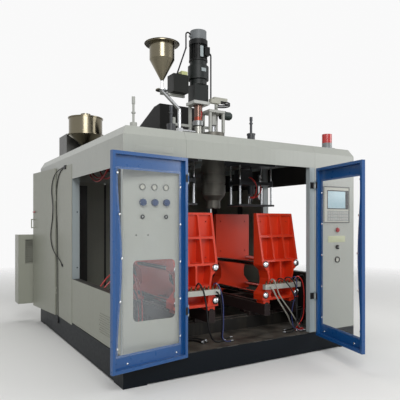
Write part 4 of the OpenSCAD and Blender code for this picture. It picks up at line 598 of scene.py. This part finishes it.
for name, points, low_end, high_end in (("curled_hose", curl, (470, 712, 1842), (487, 760, 2060)),
                                        ("blow_hose", sweep, (484, 724, 1832), (660, 770, 1990))):
    line = curve(points, 40)
    made = piece(name, [tube(line, 6.5)], RED_HOSE, None)
    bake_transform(made)


# Hoses and conduits by radius, finish, clamp and path: the clamps' hoses hang unplugged from the manifolds and lie on
# the deck, the window's come down from a plate on the left wall, and the conduits lie on the deck from their box

hoses = {
    "hose_right_black": (8, RUBBER, "right", [
        (828, 236, 846), (828, 224, 866), (846, 204, 884), (880, 194, 850), (904, 200, 740), (902, 210, 600),
        (884, 224, 460), (850, 240, 345), (800, 248, 275), (740, 240, DECK_TOP + 9), (670, 220, DECK_TOP + 8),
        (600, 215, DECK_TOP + 8)]),
    "hose_right_red": (6, RED_HOSE, "right", [
        (774, 236, 846), (774, 222, 864), (790, 196, 872), (836, 180, 812), (862, 180, 690), (868, 186, 540),
        (866, 196, 400), (820, 206, 310), (764, 203, 264), (740, 196, 252), (770, 170, DECK_TOP + 6),
        (830, 150, DECK_TOP + 6), (852, 190, DECK_TOP + 6), (820, 222, DECK_TOP + 8), (760, 216, DECK_TOP + 18),
        (712, 180, DECK_TOP + 6), (700, 140, DECK_TOP + 6)]),
    "hose_right_blue": (6, BLUE_HOSE, "right", [
        (720, 236, 846), (720, 220, 864), (736, 190, 866), (740, 172, 780), (712, 174, 640), (690, 190, 520),
        (684, 200, 420), (698, 196, 310), (706, 180, 268), (752, 140, DECK_TOP + 6), (800, 112, DECK_TOP + 6)]),
    "hose_right_second": (8, RUBBER, "right", [
        (612, 236, 846), (612, 222, 864), (640, 180, 868), (680, 140, 800), (700, 132, 680), (704, 130, 540),
        (698, 128, 420), (684, 124, 320), (646, 120, 262), (580, 110, DECK_TOP + 9), (520, 130, DECK_TOP + 8)]),
    "hose_right_third": (7, RUBBER, "right", [
        (504, 236, 846), (504, 220, 862), (530, 170, 850), (580, 104, 760), (640, 98, 640), (664, 96, 520),
        (680, 96, 410), (750, 96, 320), (830, 96, 280), (852, 90, DECK_TOP + 12), (805, 86, DECK_TOP + 7),
        (740, 90, DECK_TOP + 7)]),
    "hose_right_grey": (9, GREY_HOSE, "right", [
        (370, 221, 770), (372, 200, 768), (388, 178, 735), (424, 172, 665), (486, 180, 585), (560, 196, 500),
        (640, 216, 410), (690, 244, 345), (745, 268, 280), (800, 286, DECK_TOP + 10), (850, 292, DECK_TOP + 9)]),
    "hose_right_pale": (7, GREY_HOSE, "right", [
        (396, 236, 846), (396, 220, 860), (400, 180, 850), (420, 158, 770), (456, 152, 680), (530, 156, 590),
        (610, 160, 500), (690, 164, 400), (760, 176, 310), (810, 200, 258), (850, 240, DECK_TOP + 7)]),
    "hose_window_red": (8, RED_HOSE, None, [
        (-1498, 900, 700), (-1470, 895, 715), (-1400, 885, 800), (-1300, 875, 900), (-1180, 865, 960),
        (-1070, 860, 940), (-1000, 860, 850), (-965, 865, 700), (-950, 870, 500), (-950, 880, 340),
        (-965, 920, 262), (-1010, 1000, DECK_TOP + 9)]),
    "hose_window_second": (8, RED_HOSE, None, [
        (-1498, 980, 700), (-1470, 978, 718), (-1400, 975, 820), (-1310, 970, 925), (-1190, 965, 1000),
        (-1080, 960, 985), (-1010, 958, 890), (-975, 958, 720), (-955, 960, 520), (-950, 980, 360),
        (-960, 1040, 266), (-1000, 1130, DECK_TOP + 9)]),
    "hose_window_black": (9, RUBBER, None, [
        (-1498, 820, 700), (-1465, 816, 708), (-1400, 800, 770), (-1320, 785, 830), (-1220, 770, 850),
        (-1120, 760, 800), (-1060, 755, 690), (-1030, 755, 520), (-1025, 765, 360), (-1040, 800, 268),
        (-1085, 860, DECK_TOP + 10)]),
    "deck_conduit_outer": (13, RUBBER, None, [
        (-1238, 320, 275), (-1190, 318, 262), (-1100, 322, DECK_TOP + 14), (-940, 372, DECK_TOP + 14),
        (-800, 452, DECK_TOP + 14), (-690, 496, DECK_TOP + 14), (-594, 474, DECK_TOP + 14),
        (-522, 402, DECK_TOP + 14), (-492, 316, DECK_TOP + 14), (-490, 254, DECK_TOP + 14)]),
    "deck_conduit_inner": (13, RUBBER, None, [
        (-1238, 250, 275), (-1190, 249, 262), (-1100, 252, DECK_TOP + 14), (-940, 296, DECK_TOP + 14),
        (-810, 376, DECK_TOP + 14), (-718, 422, DECK_TOP + 14), (-640, 404, DECK_TOP + 14),
        (-580, 346, DECK_TOP + 14), (-552, 274, DECK_TOP + 14), (-550, 222, DECK_TOP + 14)]),
    "hose_left_black": (8, RUBBER, "left", [
        (-370, 221, 770), (-368, 200, 768), (-350, 180, 720), (-330, 180, 600), (-318, 190, 470), (-312, 205, 350),
        (-300, 225, 280), (-270, 250, DECK_TOP + 12), (-220, 270, DECK_TOP + 8), (-160, 265, DECK_TOP + 8)]),
    "hose_left_blue": (6, BLUE_HOSE, "left", [
        (-396, 236, 846), (-396, 222, 862), (-388, 190, 868), (-352, 168, 800), (-324, 160, 660), (-316, 164, 500),
        (-314, 168, 390), (-326, 166, 290), (-290, 150, DECK_TOP + 8), (-230, 140, DECK_TOP + 6)]),
    "hose_left_dark": (9, RUBBER, "left", [
        (-612, 236, 846), (-612, 222, 864), (-604, 188, 880), (-570, 160, 800), (-540, 150, 640), (-520, 156, 480),
        (-480, 170, 340), (-430, 180, 268), (-370, 170, DECK_TOP + 9), (-300, 190, DECK_TOP + 9)]),
}
piece("window_bulkhead", [slab((-1521.5, 780, 650), (-1513, 1020, 750), 10, 2, 0)] + [
    turned([(13, 0), (13, 10), (10, 12), (10, 20)], (-1513, y, 700), (1, 0, 0), 12) for y in (820, 900, 980)],
    STEEL, "enclosure")
piece("deck_gland_box", [slab((-1320, 216, 238.4), (-1248, 354, 312), 8, 4, 2)] + [
    turned([(18, 0), (18, 10), (15, 14)], (-1248, y, 275), (1, 0, 0), 12) for y in (250, 320)],
    BLACK, "enclosure")
for name, (radius, material, side, points) in hoses.items():
    end, before = np.array(points[-1], float), np.array(points[-2], float)
    nose = turned([(radius + 2, -6), (radius + 3, 0), (radius + 3, 14), (radius, 16), (radius, 26), (radius - 2, 28)],
                  end + [0, 0, 4], (end - before) * [1, 1, 0], 12)
    body = side + "_clamp" if side else "enclosure"
    fitting = piece(name + "_fitting", [nose], STEEL, body)
    cord(name, points, radius, material, body)

# Flat strips behind the seams of the back wall's three sheets: dark sheets in the inner sheets' painted shade, set
# where the seams show only shade
piece("back_seam_strips", [slab((x - 16, 3392.6, 262), (x + 16, 3396.4, 2136), 2, 0.6) for x in (-500, 500)],
      SIDE_GREY, "enclosure")

# Loops that hang from the roof's underside inside the left window, by x, first and last y, lowest point and finish:
# each is half an ellipse
# The red loops take the copy of the red hose that is darkened as painted shade
loops = {
    "loop_red": (-1396, 640, 1520, 1985, RED_HOSE_PAINTED_SHADE),
    "loop_second": (-1360, 520, 1240, 2000, RED_HOSE_PAINTED_SHADE),
    "loop_third": (-1324, 760, 1680, 2040, RED_HOSE_PAINTED_SHADE),
    "loop_black": (-1290, 480, 1400, 2085, RUBBER),
}
gland = [(15, 0), (15, 12), (12, 14), (12, 24)]
turn = np.linspace(0, TAU / 2, 17)
for name, (x, first, last, low, material) in loops.items():
    ends = [turned(gland, (x, y, UNDER_ROOF), (0, 0, -1), 12) for y in (first, last)]
    glands = piece(name + "_glands", ends, STEEL, "enclosure")
    top = UNDER_ROOF - 3
    along, down = (first + last) / 2 - (last - first) / 2 * np.cos(turn), top - (top - low) * np.sin(turn)
    arc = np.stack([np.full_like(turn, x), along, down], 1)
    cord(name, arc, 8, material, "enclosure")


# Stage: a pale floor and backdrop, and soft studio light

def stage_sheet(name, corners, colour):
    """A flat sheet between four corners, which fades into the white behind it as it runs away from the object."""
    mesh = bpy.data.meshes.new(name)
    mesh.from_pydata(corners, [], [[0, 1, 2, 3]])
    made = bpy.data.objects.new(name, mesh)
    bpy.context.scene.collection.objects.link(made)
    p = Paint(name)
    p.surface("Base Color", colour)
    p.surface("Roughness", 0.9)
    reach = p.node("ShaderNodeVectorMath", {"operation": "LENGTH"}, {0: p.point}, "Value")
    p.surface("Alpha", 1.0 - reach.rise(4.5, 11.0))
    mesh.materials.append(p.material)


def lamp(name, position, target, size, power):
    """A flat lamp of a width and a height that faces its target."""
    data = bpy.data.lights.new(name, "AREA")
    data.shape = "RECTANGLE"
    data.size, data.size_y = size
    data.energy = power
    made = bpy.data.objects.new(name, data)
    made.location = position
    made.rotation_euler = (Vector(target) - Vector(position)).to_track_quat("-Z", "Y").to_euler()
    bpy.context.scene.collection.objects.link(made)


stage_sheet("floor", [(-60, -60, 0), (60, -60, 0), (60, 60, 0), (-60, 60, 0)], shade(236, 236, 234))
lamp("key", (-4.0, -8.5, 6.0), (0, -0.5, 1.2), (4.5, 3.5), 480)
lamp("fill", (6.5, -6.0, 4.0), (0.4, -1.0, 1.4), (4.0, 4.0), 170)
lamp("top", (0.0, 1.0, 9.0), (0, 0, 2.5), (6.0, 6.0), 300)

world = bpy.data.worlds.new("studio")
world.use_nodes = True
bpy.context.scene.world = world
nodes, links = world.node_tree.nodes, world.node_tree.links
backing = nodes["Background"]
backing.inputs["Color"].default_value = (1, 1, 1, 1)
rays = nodes.new("ShaderNodeLightPath")
seen = rays.outputs["Is Camera Ray"]
for kind in ("Is Glossy Ray", "Is Transmission Ray"):
    either = nodes.new("ShaderNodeMath")
    either.operation = "MAXIMUM"
    links.new(seen, either.inputs[0])
    links.new(rays.outputs[kind], either.inputs[1])
    seen = either.outputs[0]
level = nodes.new("ShaderNodeMapRange")
links.new(seen, level.inputs["Value"])
level.inputs["To Min"].default_value = 0.3
level.inputs["To Max"].default_value = 0.95
links.new(level.outputs[0], backing.inputs["Strength"])

bpy.context.scene.view_settings.view_transform = "Standard"
